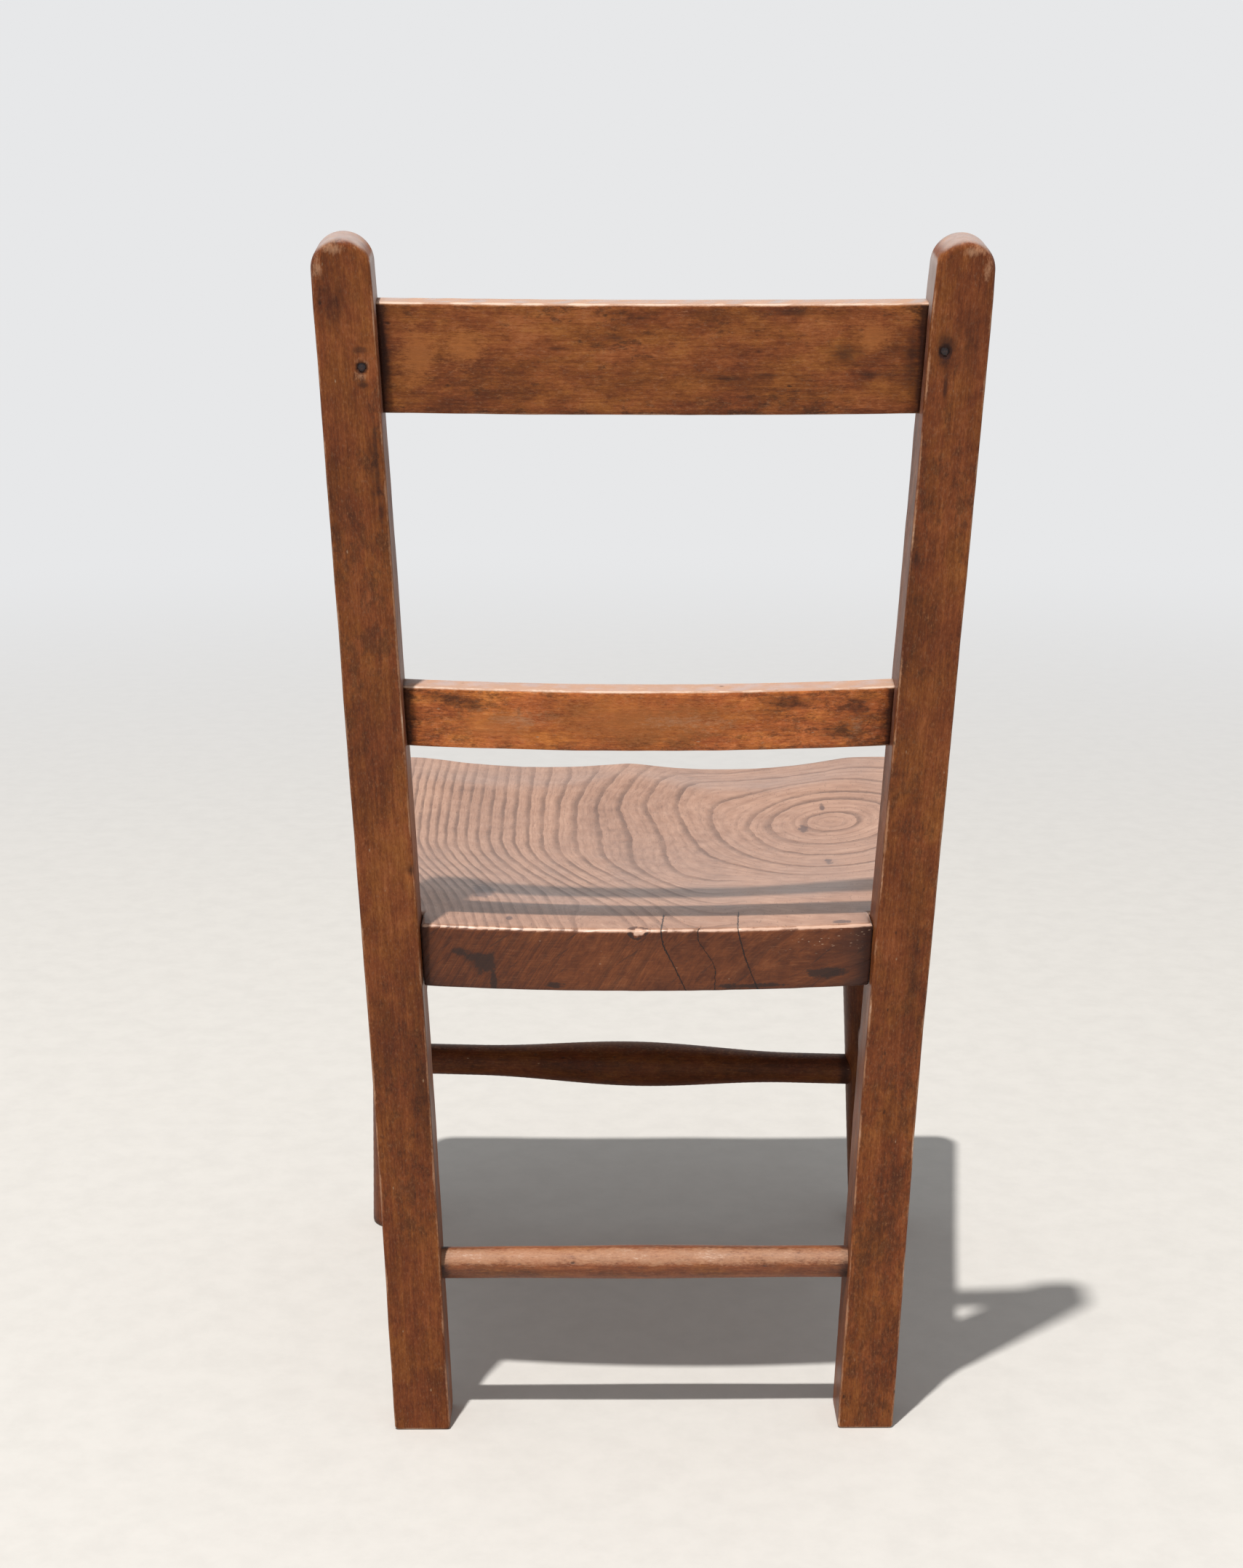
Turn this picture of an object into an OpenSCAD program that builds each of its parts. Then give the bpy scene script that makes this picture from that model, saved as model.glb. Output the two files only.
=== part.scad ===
// Child's wooden schoolroom chair.
// Sawn and splayed back posts, two bowed rails, a saddled seat, turned front legs and turned stretchers.
// Millimetres. The front of the chair faces -Y, +Z is up, and the origin lies on the floor at the centre
// of the chair's bounding box. "Left" is the sitter's left, which is +X.

/* [Overall] */
// Height of the back posts' rounded tops above the floor
chair_h = 600; // [560:1:720]
// Height of the seat's top face where it meets the back posts
seat_h = 271; // [225:1:325]
// Overall length of the seat, from its back edge to its front edge
seat_l = 311; // [255:1:375]
// Width of the seat across its front edge
seat_front_w = 336; // [310:1:405]

/* [Back posts] */
// Distance between the outer faces of the two back posts at the floor
foot_span = 255; // [230:1:300]
// Outward lean of each back post
post_splay = 2.2; // [0.5:0.1:3]
// Width of a back post at the floor
post_w = 28.5; // [26:0.5:34]
// Width of a back post at its rounded top
post_top_w = 26.5; // [24:0.5:34]
// Depth of a back post from the floor up to the bend
post_d = 29; // [28:0.5:35]
// Depth of a back post at its top
post_top_d = 25.5; // [25:0.5:31]
// Backward lean of the back posts below the bend
post_kick = 2; // [0:0.1:3]
// Backward lean of the back posts above the bend
post_rake = 8.8; // [6:0.1:11]
// Distance from the seat's top face down to the bend
bend_drop = 81; // [65:1:100]
// Radius of the bend along the back faces
bend_r = 600; // [400:10:720]

/* [Back rails] */
// Height of the top rail
top_rail_h = 50; // [40:1:60]
// Distance from the tops of the posts down to the top rail
top_rail_drop = 30; // [25:1:37]
// How far the middle of the top rail is bowed backward
top_rail_bow = 4; // [3:0.5:8]
// Height of the mid rail
mid_rail_h = 30; // [24:1:40]
// Distance from the seat's top face up to the mid rail
mid_rail_rise = 89; // [70:1:107]
// How far the middle of the mid rail is bowed backward
mid_rail_bow = 7.5; // [3:0.5:9]
// Thickness of both rails
rail_t = 12; // [10:0.5:12.5]
// Distance from the posts' back faces forward to the rails' back faces
rail_setback = 12.5; // [11:0.5:12.5]

/* [Seat] */
// Thickness of the seat slab
seat_t = 32; // [28:1:38]
// Width of the seat just in front of the back posts
seat_back_w = 259; // [245:1:280]
// Upward slope of the seat towards the front
seat_pitch = 3.2; // [1:0.1:4.5]
// Distance from the posts' back faces forward to the seat's back edge
seat_setback = 12; // [9:0.5:12]
// How far the middle of the seat's back edge is bowed backward
seat_back_bow = 8.5; // [4:0.5:11]
// Radius of the seat's front corners
seat_corner_r = 13; // [6:1:20]
// Depth of the dish in the middle of the seat
dish_depth = 11; // [6:0.5:13]
// Radius of the rim of each of the two overlapping hollows that form the dish
dish_rim_r = 135; // [110:1:136]
// Sideways distance from the centreline to the middle of each of those hollows
dish_offset = 20; // [0:1:24]
// Distance from the seat's back edge to the rim of the dish
dish_back = 37; // [30:1:50]
// Depth of each thigh hollow at the front edge
thigh_depth = 8; // [4:0.5:10]
// Radius of the rim of each thigh hollow
thigh_rim_r = 75; // [60:1:80]
// Sideways distance from the centreline to the middle of each thigh hollow
thigh_offset = 52; // [40:1:60]
// Distance from the front edge back to the middle of each thigh hollow
thigh_inset = 11; // [0:1:30]

/* [Front legs] */
// Largest diameter of a front leg
leg_d = 33; // [29:0.5:37]
// Diameter of a front leg at the floor
leg_foot_d = 28.5; // [26:0.5:34]
// Diameter of a front leg under the seat
leg_top_d = 27; // [25:0.5:33]
// Diameter of the tenon on top of a front leg
leg_tenon_d = 19; // [16:0.5:21]
// Length of the tenon on top of a front leg
leg_tenon_l = 18; // [14:0.5:20]
// Distance from the seat's front edge back to the middle of a front leg
leg_front_inset = 32; // [28:1:40]
// Distance from the seat's side edge in to the middle of a front leg
leg_side_inset = 25.5; // [24:0.5:32]
// Outward lean of each front leg
leg_splay = 1.9; // [0:0.1:3]
// Forward lean of each front leg
leg_rake = 2; // [0:0.1:3.5]

/* [Stretchers] */
// Height of the front stretcher's middle line above the floor
front_stretcher_h = 102; // [80:1:125]
// How much higher the front stretcher's left end sits than its right end
front_stretcher_lift = 8; // [0:1:10]
// Largest diameter of the front stretcher
front_stretcher_d = 27; // [22:0.5:33]
// Diameter of the front stretcher's ends in their sockets
front_stretcher_end_d = 18.5; // [16:0.5:19]
// Length of the front stretcher's plain part beside each leg
front_stretcher_plain = 32; // [20:1:50]
// Height of the rear stretcher's middle line above the floor
rear_stretcher_h = 87; // [60:1:105]
// Largest diameter of the rear stretcher
rear_stretcher_d = 17; // [17:0.5:20]
// Distance from the front stretcher up to the side stretchers
side_stretcher_rise = 25; // [24:1:30]
// Largest diameter of a side stretcher
side_stretcher_d = 18; // [17:0.5:22]
// Diameter of the rear and side stretchers' ends in their sockets
stretcher_end_d = 16; // [14:0.5:16.5]

/* [Joints and fixings] */
// Gap left around each tenon, socketed end and shoulder
joint_gap = 0.1; // [0.05:0.01:0.2]
// Extra depth of a socket beyond the end of what it holds
socket_relief = 0.5; // [0.3:0.1:2]
// Thickness of the rails' tenons
rail_tenon_t = 7.5; // [6:0.5:9]
// Length of the rails' tenons
rail_tenon_l = 18; // [14:0.5:20]
// Shoulder above and below the rails' tenons
rail_shoulder = 5; // [3:0.5:8]
// Diameter of the shank of each rail nail
nail_d = 2.6; // [2:0.1:3.2]
// Length of each rail nail
nail_l = 21; // [18:0.5:24]
// Diameter of the head of each rail nail
nail_head_d = 4.3; // [3.6:0.1:5.2]
// Thickness of the head of each rail nail
nail_head_t = 1.2; // [0.8:0.1:2]
// Depth of the nail heads below the posts' back faces
nail_sink = 0.5; // [0:0.1:1]
// Distance from a post's inner face to its nail
nail_inset = 7.3; // [6:0.1:10]
// Height of the left nail above the middle of the top rail
nail_rise_left = -1.5; // [-8:0.5:8]
// Height of the right nail above the middle of the top rail
nail_rise_right = 6; // [-8:0.5:8]
// Diameter of the seat screws
screw_d = 4.2; // [3.5:0.1:5]
// Length of the seat screws
screw_l = 45; // [40:0.5:50]
// Diameter of the heads of the seat screws
screw_head_d = 8; // [7:0.1:9]
// Thickness of the heads of the seat screws
screw_head_t = 2.5; // [2:0.1:3]
// Diameter of the wooden plugs over the seat screws
plug_d = 10; // [9.5:0.1:11]
// Length of the wooden plugs over the seat screws
plug_l = 7; // [5:0.5:8]

/* [Hidden] */
$fn = 64;

left = 1;
right = -1;
sides = [left, right];
reach = 500;     // longer than any cut has to be
over = 10;       // how far a cutter runs past the face that it opens
bow_fn = 720;    // facets of the large circles behind the bowed faces
dish_fn = 360;   // facets of the spheres that hollow the seat

// Back posts, in the side view: y runs backward and z up from the back lower corner of the foot.
lower_run = [sin(post_kick), cos(post_kick)];
lower_back = [cos(post_kick), -sin(post_kick)];
upper_run = [sin(post_rake), cos(post_rake)];
upper_back = [cos(post_rake), -sin(post_rake)];
bend_h = seat_h - bend_drop;
bend_point = lower_run * bend_h / cos(post_kick);
bend_tangent = bend_r * tan((post_rake - post_kick) / 2);
bend_centre = bend_point - lower_run * bend_tangent + lower_back * bend_r;
post_foot_x = foot_span / 2 - post_w / 2;
// The post's own height, before its outward lean lowers the top.
post_h = (chair_h - post_top_w / 2) / cos(post_splay) + post_top_w / 2;
// Distances along the leaning upper back face, from the bend point.
run_top = (post_h - post_top_d * sin(post_rake) - bend_point[1]) / cos(post_rake);
run_foot = -bend_h / cos(post_rake);
run_shoulder = run_top - post_top_w / 2;

function half_width(run) =
    (post_w + (post_top_w - post_w) * (run - run_foot) / (run_shoulder - run_foot)) / 2;
function run_at(z) = (z - bend_point[1]) / cos(post_rake);
function back_face_y(z) =
    z < bend_h ? z * tan(post_kick) : bend_point[0] + (z - bend_point[1]) * tan(post_rake);
function post_x(z) = post_foot_x + z * tan(post_splay);
function post_inner_x(z) = post_x(z) - half_width(run_at(z)) / cos(post_splay);
function post_middle(side, z) =
    [side * post_x(z), back_face_y(z) - post_d / 2 / cos(post_kick), z];

// Rails: each starts at this distance along the upper back face.
top_rail_run = run_top - top_rail_drop - top_rail_h;
mid_rail_run = run_at(seat_h + mid_rail_rise);

// Seat: its frame has y = 0 at the back edge beside the posts and z = 0 on the top face.
seat_y = back_face_y(seat_h) - seat_setback;
seat_run = seat_l - seat_back_bow;
seat_flare = (seat_front_w - seat_back_w) / 2 / (seat_run - post_d + seat_setback);
seat_flare_a = atan(seat_flare);
function seat_half_w(y) = seat_front_w / 2 - (y + seat_run) * seat_flare;
corner_centre = [seat_half_w(seat_corner_r - seat_run) - seat_corner_r / cos(seat_flare_a),
                 seat_corner_r - seat_run];

// Front legs: where each axis meets the underside of the seat, and which way it runs down.
leg_top_y = leg_front_inset - seat_run;
leg_top_x = seat_half_w(leg_top_y) - leg_side_inset;
leg_top = [leg_top_x,
           seat_y + leg_top_y * cos(seat_pitch) - seat_t * sin(seat_pitch),
           seat_h - leg_top_y * sin(seat_pitch) - seat_t * cos(seat_pitch)];
leg_axis = [cos(leg_rake) * sin(leg_splay), -sin(leg_rake), -cos(leg_rake) * cos(leg_splay)];
leg_l = leg_top[2] / -leg_axis[2];
function leg_middle(side, z) =
    let (p = leg_top + leg_axis * (z - leg_top[2]) / leg_axis[2]) [side * p[0], p[1], p[2]];

front_stretcher_ends = [for (side = [right, left])
    leg_middle(side, front_stretcher_h + side * front_stretcher_lift / 2)];
rear_stretcher_ends = [for (side = [right, left]) post_middle(side, rear_stretcher_h)];
side_stretcher_h = front_stretcher_h + side_stretcher_rise;
function side_stretcher_ends(side) =
    [post_middle(side, side_stretcher_h), leg_middle(side, side_stretcher_h)];

// Nails and seat screws.
nail_rise = [nail_rise_left, nail_rise_right];
screw_z = seat_h - seat_t / 2;
screw_at = post_middle(1, screw_z);
post_outer_x = post_x(screw_z) + half_width(run_at(screw_z)) / cos(post_splay);
screw_head_x = post_outer_x - plug_l - socket_relief;

// Shift that centres the chair's bounding box on the origin.
back_reach = bend_point[0] + run_top * sin(post_rake);
front_reach = seat_run * cos(seat_pitch) + seat_t * sin(seat_pitch) - seat_y;
centre_y = (front_reach - back_reach) / 2;

// ---- frames ----

// The frame in which the back posts' back faces meet the floor at y = 0.
module chair_frame() translate([0, centre_y, 0]) children();

// A back post's own frame: x = 0 on its centre plane.
module post_frame(side) translate([side * post_foot_x, 0, 0]) rotate([0, side * post_splay, 0]) children();

// z runs up along the leaning upper back face, and y = 0 is that face.
module raked() translate([0, bend_point[0], bend_point[1]]) rotate([-post_rake, 0, 0]) children();

module seat_frame() translate([0, seat_y, seat_h]) rotate([-seat_pitch, 0, 0]) children();

// z = 0 is the underside of the seat, and -z runs down along the leg's axis.
module leg_frame(side) translate([side * leg_top[0], leg_top[1], leg_top[2]])
    rotate([-leg_rake, -side * leg_splay, 0]) children();

// z runs from the first point to the second.
module from_to(a, b) {
    v = b - a;
    translate(a) rotate([0, acos(v[2] / norm(v)), atan2(v[1], v[0])]) children();
}

module below_floor() translate([-reach, -reach, -reach]) cube([2 * reach, 2 * reach, reach]);

// ---- back posts ----

function bend_arc(radius, steps = 12) =
    [for (i = [0:steps]) let (a = post_kick + (post_rake - post_kick) * i / steps)
        bend_centre + radius * [-cos(a), sin(a)]];

function reversed(points) = [for (i = [len(points) - 1:-1:0]) points[i]];

// The post seen from the side.
module post_side_outline() {
    foot_back = -lower_run * over;
    top_back = bend_point + upper_run * run_top;
    polygon(concat(
        [foot_back], bend_arc(bend_r), [top_back, top_back - upper_back * post_top_d],
        reversed(bend_arc(bend_r + post_d)), [foot_back - lower_back * post_d]));
}

// The post seen from behind, along its leaning upper half.
module post_back_outline() {
    low = run_foot - over;
    polygon([[-half_width(low), low], [half_width(low), low],
             [post_top_w / 2, run_shoulder], [-post_top_w / 2, run_shoulder]]);
    translate([0, run_shoulder]) circle(d = post_top_w);
}

module post_blank(side) difference() {
    post_frame(side) intersection() {
        translate([-post_w, 0, 0]) rotate([90, 0, 90]) linear_extrude(2 * post_w) post_side_outline();
        raked() rotate([90, 0, 0]) linear_extrude(2 * reach, center = true) post_back_outline();
    }
    below_floor();
}

// Everything on one side of the line of a post's inner face, moved out of the post by the joint gap.
module beside_inner_face(side, inward) {
    low = run_foot - over;
    high = run_top + reach;
    edge = [for (run = [low, high]) -side * (half_width(run) + joint_gap)];
    far = side * (inward ? -reach : reach);
    post_frame(side) raked() rotate([90, 0, 0]) linear_extrude(2 * reach, center = true)
        polygon([[edge[0], low], [edge[1], high], [far, high], [far, low]]);
}

module between_posts() intersection() {
    beside_inner_face(left, true);
    beside_inner_face(right, true);
}

// What a back post takes out of the seat: all that is outward of its inner face and behind its front.
module post_notch(side) intersection() {
    beside_inner_face(side, false);
    post_frame(side) translate([-reach, 0, 0]) rotate([90, 0, 90]) linear_extrude(2 * reach) {
        front = bend_arc(bend_r + post_d + joint_gap);
        last = front[len(front) - 1];
        polygon(concat(front, [last + upper_run * reach, last + [reach, reach], [reach, front[0][1]]]));
    }
}

module back_post(side) difference() {
    post_blank(side);
    top_rail_tenons(joint_gap);
    mid_rail_tenons(joint_gap);
    rod_sockets(rear_stretcher_ends, stretcher_end_d);
    rod_sockets(side_stretcher_ends(side), stretcher_end_d);
    nail(side, joint_gap);
    seat_screw(side, joint_gap);
    screw_plug_rod(side, joint_gap);
}

// ---- back rails ----

// A bowed band in the raked frame: thickness t about the middle of the rail's own thickness.
module bowed_band(run, h, bow, half_span, half_l, t) {
    back_r = (pow(half_span, 2) + pow(bow, 2)) / (2 * bow);
    middle_r = back_r - rail_t / 2;
    translate([0, 0, run]) linear_extrude(h) intersection() {
        translate([0, bow - rail_setback - back_r]) difference() {
            circle(r = middle_r + t / 2, $fn = bow_fn);
            circle(r = middle_r - t / 2, $fn = bow_fn);
        }
        translate([-half_l, -reach / 2]) square([2 * half_l, reach]);
    }
}

module rail_tenons(run, h, bow, gap) {
    z = bend_point[1] + (run + h / 2) * cos(post_rake);
    tip_x = post_inner_x(z) + rail_tenon_l;
    shoulder = rail_shoulder - gap;
    relief = gap > 0 ? socket_relief : 0;
    raked() bowed_band(run + shoulder, h - 2 * shoulder, bow, post_inner_x(z),
                       tip_x + relief, rail_tenon_t + 2 * gap);
}

module rail_body(run, h, bow) intersection() {
    z = bend_point[1] + (run + h / 2) * cos(post_rake);
    raked() bowed_band(run, h, bow, post_inner_x(z), post_inner_x(z) + rail_tenon_l, rail_t);
    between_posts();
}

module top_rail_tenons(gap) rail_tenons(top_rail_run, top_rail_h, top_rail_bow, gap);

module mid_rail_tenons(gap) rail_tenons(mid_rail_run, mid_rail_h, mid_rail_bow, gap);

module top_rail() color("sienna") chair_frame() difference() {
    union() {
        rail_body(top_rail_run, top_rail_h, top_rail_bow);
        top_rail_tenons(0);
    }
    for (side = sides) nail(side, joint_gap);
}

module mid_rail() color("sienna") chair_frame() {
    rail_body(mid_rail_run, mid_rail_h, mid_rail_bow);
    mid_rail_tenons(0);
}

// ---- seat ----

// The right-hand front corner of the seat, from its side edge to its front edge.
function corner_arc(steps = 8) =
    [for (i = [0:steps]) let (a = seat_flare_a - (90 + seat_flare_a) * i / steps)
        corner_centre + seat_corner_r * [cos(a), sin(a)]];

module seat_plan() {
    corner = corner_arc();
    back_r = (pow(post_inner_x(seat_h), 2) + pow(seat_back_bow, 2)) / (2 * seat_back_bow);
    intersection() {
        polygon(concat(
            [[-seat_half_w(over), over], [seat_half_w(over), over]], corner,
            reversed([for (p = corner) [-p[0], p[1]]])));
        translate([0, seat_back_bow - back_r]) circle(r = back_r, $fn = bow_fn);
    }
}

// A shallow round hollow in the seat's top, given the radius of its rim and its depth.
module hollow(x, y, rim_r, depth) {
    r = (pow(rim_r, 2) + pow(depth, 2)) / (2 * depth);
    translate([x, y, r - depth]) sphere(r = r, $fn = dish_fn);
}

module seat() color("peru") chair_frame() difference() {
    seat_frame() difference() {
        translate([0, 0, -seat_t]) linear_extrude(seat_t) seat_plan();
        for (side = sides) {
            hollow(side * dish_offset, seat_back_bow - dish_back - dish_rim_r, dish_rim_r, dish_depth);
            hollow(side * thigh_offset, thigh_inset - seat_run, thigh_rim_r, thigh_depth);
        }
    }
    for (side = sides) {
        post_notch(side);
        leg_tenon(side, joint_gap);
        seat_screw(side, joint_gap);
    }
}

// ---- front legs ----

module leg_tenon(side, gap) leg_frame(side) translate([0, 0, -over])
    cylinder(d = leg_tenon_d + 2 * gap, h = over + leg_tenon_l + (gap > 0 ? socket_relief : 0));

// The turned outline from the floor up to the shoulder, as cones between named diameters.
module leg_turning(side) {
    stations = [[-over, leg_foot_d], [0, leg_foot_d], [leg_l * 0.3, (leg_foot_d + leg_d) / 2],
                [leg_l * 0.6, leg_d], [leg_l * 0.7, leg_d], [leg_l * 0.9, (leg_top_d + leg_d) / 2],
                [leg_l - joint_gap - leg_top_d / 2 * sin(leg_rake + leg_splay + seat_pitch), leg_top_d]];
    leg_frame(side) translate([0, 0, -leg_l]) rotate_extrude()
        polygon(concat([[0, -over]], [for (s = stations) [s[1] / 2, s[0]]],
                       [[0, stations[len(stations) - 1][0]]]));
}

module front_leg(side) color("saddlebrown") chair_frame() difference() {
    union() {
        leg_turning(side);
        leg_tenon(side, 0);
    }
    below_floor();
    rod_sockets(front_stretcher_ends, front_stretcher_end_d);
    rod_sockets(side_stretcher_ends(side), stretcher_end_d);
}

// ---- stretchers ----

// A turned rod between two points. Its middle swells from end_d to d over the length swell_l.
module turned_rod(ends, d, end_d, swell_l) from_to(ends[0], ends[1]) {
    l = norm(ends[1] - ends[0]);
    steps = 16;
    end_r = end_d / 2;
    rotate_extrude() polygon(concat(
        [[0, 0], [end_r, 0]],
        [for (i = [0:steps]) let (u = i / steps)
            [end_r + (d / 2 - end_r) * pow(sin(180 * u), 2), l / 2 + (u - 0.5) * swell_l]],
        [[end_r, l], [0, l]]));
}

// The sockets that hold the straight ends of such a rod.
module rod_sockets(ends, end_d) from_to(ends[0], ends[1]) {
    l = norm(ends[1] - ends[0]);
    socket_l = 3 * over;
    for (z = [-socket_relief, l + socket_relief - socket_l]) translate([0, 0, z])
        cylinder(d = end_d + 2 * joint_gap, h = socket_l);
}

module front_stretcher() color("saddlebrown") chair_frame()
    turned_rod(front_stretcher_ends, front_stretcher_d, front_stretcher_end_d,
               norm(front_stretcher_ends[1] - front_stretcher_ends[0]) - leg_d - 2 * front_stretcher_plain);

module rear_stretcher() color("saddlebrown") chair_frame()
    turned_rod(rear_stretcher_ends, rear_stretcher_d, stretcher_end_d,
               norm(rear_stretcher_ends[1] - rear_stretcher_ends[0]) - 2 * post_w);

module side_stretcher(side) color("saddlebrown") chair_frame() {
    ends = side_stretcher_ends(side);
    turned_rod(ends, side_stretcher_d, stretcher_end_d, norm(ends[1] - ends[0]) - 2 * leg_d);
}

// ---- nails, screws and plugs ----

// A nail driven forward through a post's back face and the top rail's tenon.
module nail(side, gap) {
    run = top_rail_run + top_rail_h / 2 + (side == left ? nail_rise[0] : nail_rise[1]);
    x = post_inner_x(bend_point[1] + run * cos(post_rake)) + nail_inset;
    mouth = gap > 0 ? over : -nail_sink;
    raked() translate([side * x, 0, run]) rotate([90, 0, 0]) {
        translate([0, 0, nail_sink]) cylinder(d = nail_d + 2 * gap, h = nail_l + gap);
        translate([0, 0, -mouth])
            cylinder(d = nail_head_d + 2 * gap, h = mouth + nail_sink + nail_head_t + gap);
    }
}

module rail_nails() color("dimgray") chair_frame() for (side = sides) nail(side, 0);

// A wood screw driven inward through a post into the seat, with its head at the bottom of the plug hole.
module seat_screw(side, gap) translate([side * screw_head_x, screw_at[1], screw_at[2]])
    rotate([0, -side * 90, 0]) {
        translate([0, 0, -gap]) cylinder(d = screw_head_d + 2 * gap, h = screw_head_t + 2 * gap);
        cylinder(d = screw_d + 2 * gap, h = screw_l + gap);
    }

module seat_screws() color("dimgray") chair_frame() for (side = sides) seat_screw(side, 0);

module screw_plug_rod(side, gap) translate([side * (screw_head_x + (gap > 0 ? 0 : socket_relief)),
                                            screw_at[1], screw_at[2]])
    rotate([0, side * 90, 0]) cylinder(d = plug_d + 2 * gap, h = plug_l + over);

module screw_plugs() color("sienna") chair_frame() for (side = sides) intersection() {
    screw_plug_rod(side, 0);
    post_blank(side);
}

module back_post_left() color("sienna") chair_frame() back_post(left);
module back_post_right() color("sienna") chair_frame() back_post(right);
module front_leg_left() front_leg(left);
module front_leg_right() front_leg(right);
module side_stretcher_left() side_stretcher(left);
module side_stretcher_right() side_stretcher(right);

back_post_left();
back_post_right();
top_rail();
mid_rail();
seat();
front_leg_left();
front_leg_right();
front_stretcher();
rear_stretcher();
side_stretcher_left();
side_stretcher_right();
rail_nails();
seat_screws();
screw_plugs();
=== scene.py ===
"""A child's schoolroom chair: worn stained beech, a saddled elm seat and old iron nails.

Each CAD node but the hidden seat screws gets a detailed mesh in its place. Lengths are millimetres
until a mesh is made.
The front of the chair faces -Y. "Left" is the sitter's left, which is +X, and also the left seen from
behind. Places of marks count towards the right seen from behind, which is -X.
"""

import math

import bmesh
import bpy
import numpy as np
from mathutils import Matrix


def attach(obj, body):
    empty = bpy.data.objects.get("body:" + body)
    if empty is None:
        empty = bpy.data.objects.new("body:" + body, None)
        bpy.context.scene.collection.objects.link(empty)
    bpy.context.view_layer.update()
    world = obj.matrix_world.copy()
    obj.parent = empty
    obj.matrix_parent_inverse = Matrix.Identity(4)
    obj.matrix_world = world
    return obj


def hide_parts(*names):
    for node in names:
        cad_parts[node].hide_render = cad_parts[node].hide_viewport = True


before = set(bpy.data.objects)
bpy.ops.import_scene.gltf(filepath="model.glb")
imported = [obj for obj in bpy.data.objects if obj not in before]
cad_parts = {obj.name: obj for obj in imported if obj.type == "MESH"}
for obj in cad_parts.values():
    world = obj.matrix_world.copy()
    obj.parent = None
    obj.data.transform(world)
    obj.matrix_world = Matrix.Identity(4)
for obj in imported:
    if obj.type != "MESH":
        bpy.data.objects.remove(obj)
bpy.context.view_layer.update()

MM = 0.001
SIDES = {"left": 1, "right": -1}

# ---- the chair's measures, as in the CAD model ----

CHAIR_H, SEAT_H, SEAT_L, SEAT_FRONT_W = 600, 271, 311, 336
FOOT_SPAN, POST_W, POST_TOP_W, POST_D, POST_TOP_D = 255, 28.5, 26.5, 29, 25.5
SPLAY, KICK, RAKE = (math.radians(a) for a in (2.2, 2, 8.8))
BEND_DROP, BEND_R = 81, 600
TOP_RAIL_H, TOP_RAIL_DROP, TOP_RAIL_BOW = 50, 30, 4
MID_RAIL_H, MID_RAIL_RISE, MID_RAIL_BOW = 30, 89, 7.5
RAIL_T, RAIL_SETBACK = 12, 12.5
SEAT_T, SEAT_BACK_W, SEAT_PITCH, SEAT_SETBACK, SEAT_BACK_BOW = 32, 259, math.radians(3.2), 12, 8.5
SEAT_CORNER_R = 13
DISH_DEPTH, DISH_RIM_R, DISH_OFFSET, DISH_BACK = 11, 135, 20, 37
THIGH_DEPTH, THIGH_RIM_R, THIGH_OFFSET, THIGH_INSET = 8, 75, 52, 11
THIGH_SHALLOWER = {1: 1.5, -1: 0}   # the left hollow is cut a little less deep than the right one
LEG_D, LEG_FOOT_D, LEG_TOP_D, LEG_FRONT_INSET, LEG_SIDE_INSET = 33, 28.5, 27, 32, 25.5
LEG_SPLAY, LEG_RAKE = math.radians(1.9), math.radians(2)
FRONT_STRETCHER_H, FRONT_STRETCHER_LIFT, FRONT_STRETCHER_D = 102, 8, 27
FRONT_STRETCHER_END_D, FRONT_STRETCHER_PLAIN = 18.5, 32
REAR_STRETCHER_H, REAR_STRETCHER_D = 87, 17
SIDE_STRETCHER_RISE, SIDE_STRETCHER_D, STRETCHER_END_D = 25, 18, 16
NAIL_D, NAIL_L, NAIL_HEAD_D, NAIL_HEAD_T, NAIL_SINK, NAIL_INSET = 2.6, 21, 4.3, 1.2, 0.5, 7.3
NAIL_RISE = {"left": -1.5, "right": 6}
PLUG_D, PLUG_L = 10, 7
SEAT_FIT = 0.15   # gap between the seat and the posts

# ---- lines worked out from them ----


def back_normal(a):
    """The direction out of a back face that leans back by a, as (y, z)."""
    return np.stack([np.cos(a), -np.sin(a)], -1)


def uphill(a):
    """The direction up that face."""
    return np.stack([np.sin(a), np.cos(a)], -1)


BEND_H = SEAT_H - BEND_DROP
BEND = np.array([math.tan(KICK) * BEND_H, BEND_H])
BEND_TANGENT = BEND_R * math.tan((RAKE - KICK) / 2)
BEND_CENTRE = BEND - uphill(KICK) * BEND_TANGENT + back_normal(KICK) * BEND_R
POST_FOOT_X = (FOOT_SPAN - POST_W) / 2
POST_H = (CHAIR_H - POST_TOP_W / 2) / math.cos(SPLAY) + POST_TOP_W / 2
# a run is a distance up the leaning part of the back face from the bend, and an up one from the foot
RUN_TOP = (POST_H - POST_TOP_D * math.sin(RAKE) - BEND[1]) / math.cos(RAKE)
RUN_FOOT = -BEND_H / math.cos(RAKE)
RUN_SHOULDER = RUN_TOP - POST_TOP_W / 2
BEND_START = BEND_H / math.cos(KICK) - BEND_TANGENT
BEND_END = BEND_START + BEND_R * (RAKE - KICK)
UP_FROM_RUN = BEND_END - BEND_TANGENT
POST_SHOULDER = RUN_SHOULDER + UP_FROM_RUN


def half_width(run):
    return (POST_W + (POST_TOP_W - POST_W) * (run - RUN_FOOT) / (RUN_SHOULDER - RUN_FOOT)) / 2


def run_at(z):
    return (z - BEND[1]) / math.cos(RAKE)


def z_at(run):
    return BEND[1] + run * math.cos(RAKE)


def back_face_y(z):
    return np.where(z < BEND_H, z * math.tan(KICK), BEND[0] + (z - BEND[1]) * math.tan(RAKE))


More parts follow.
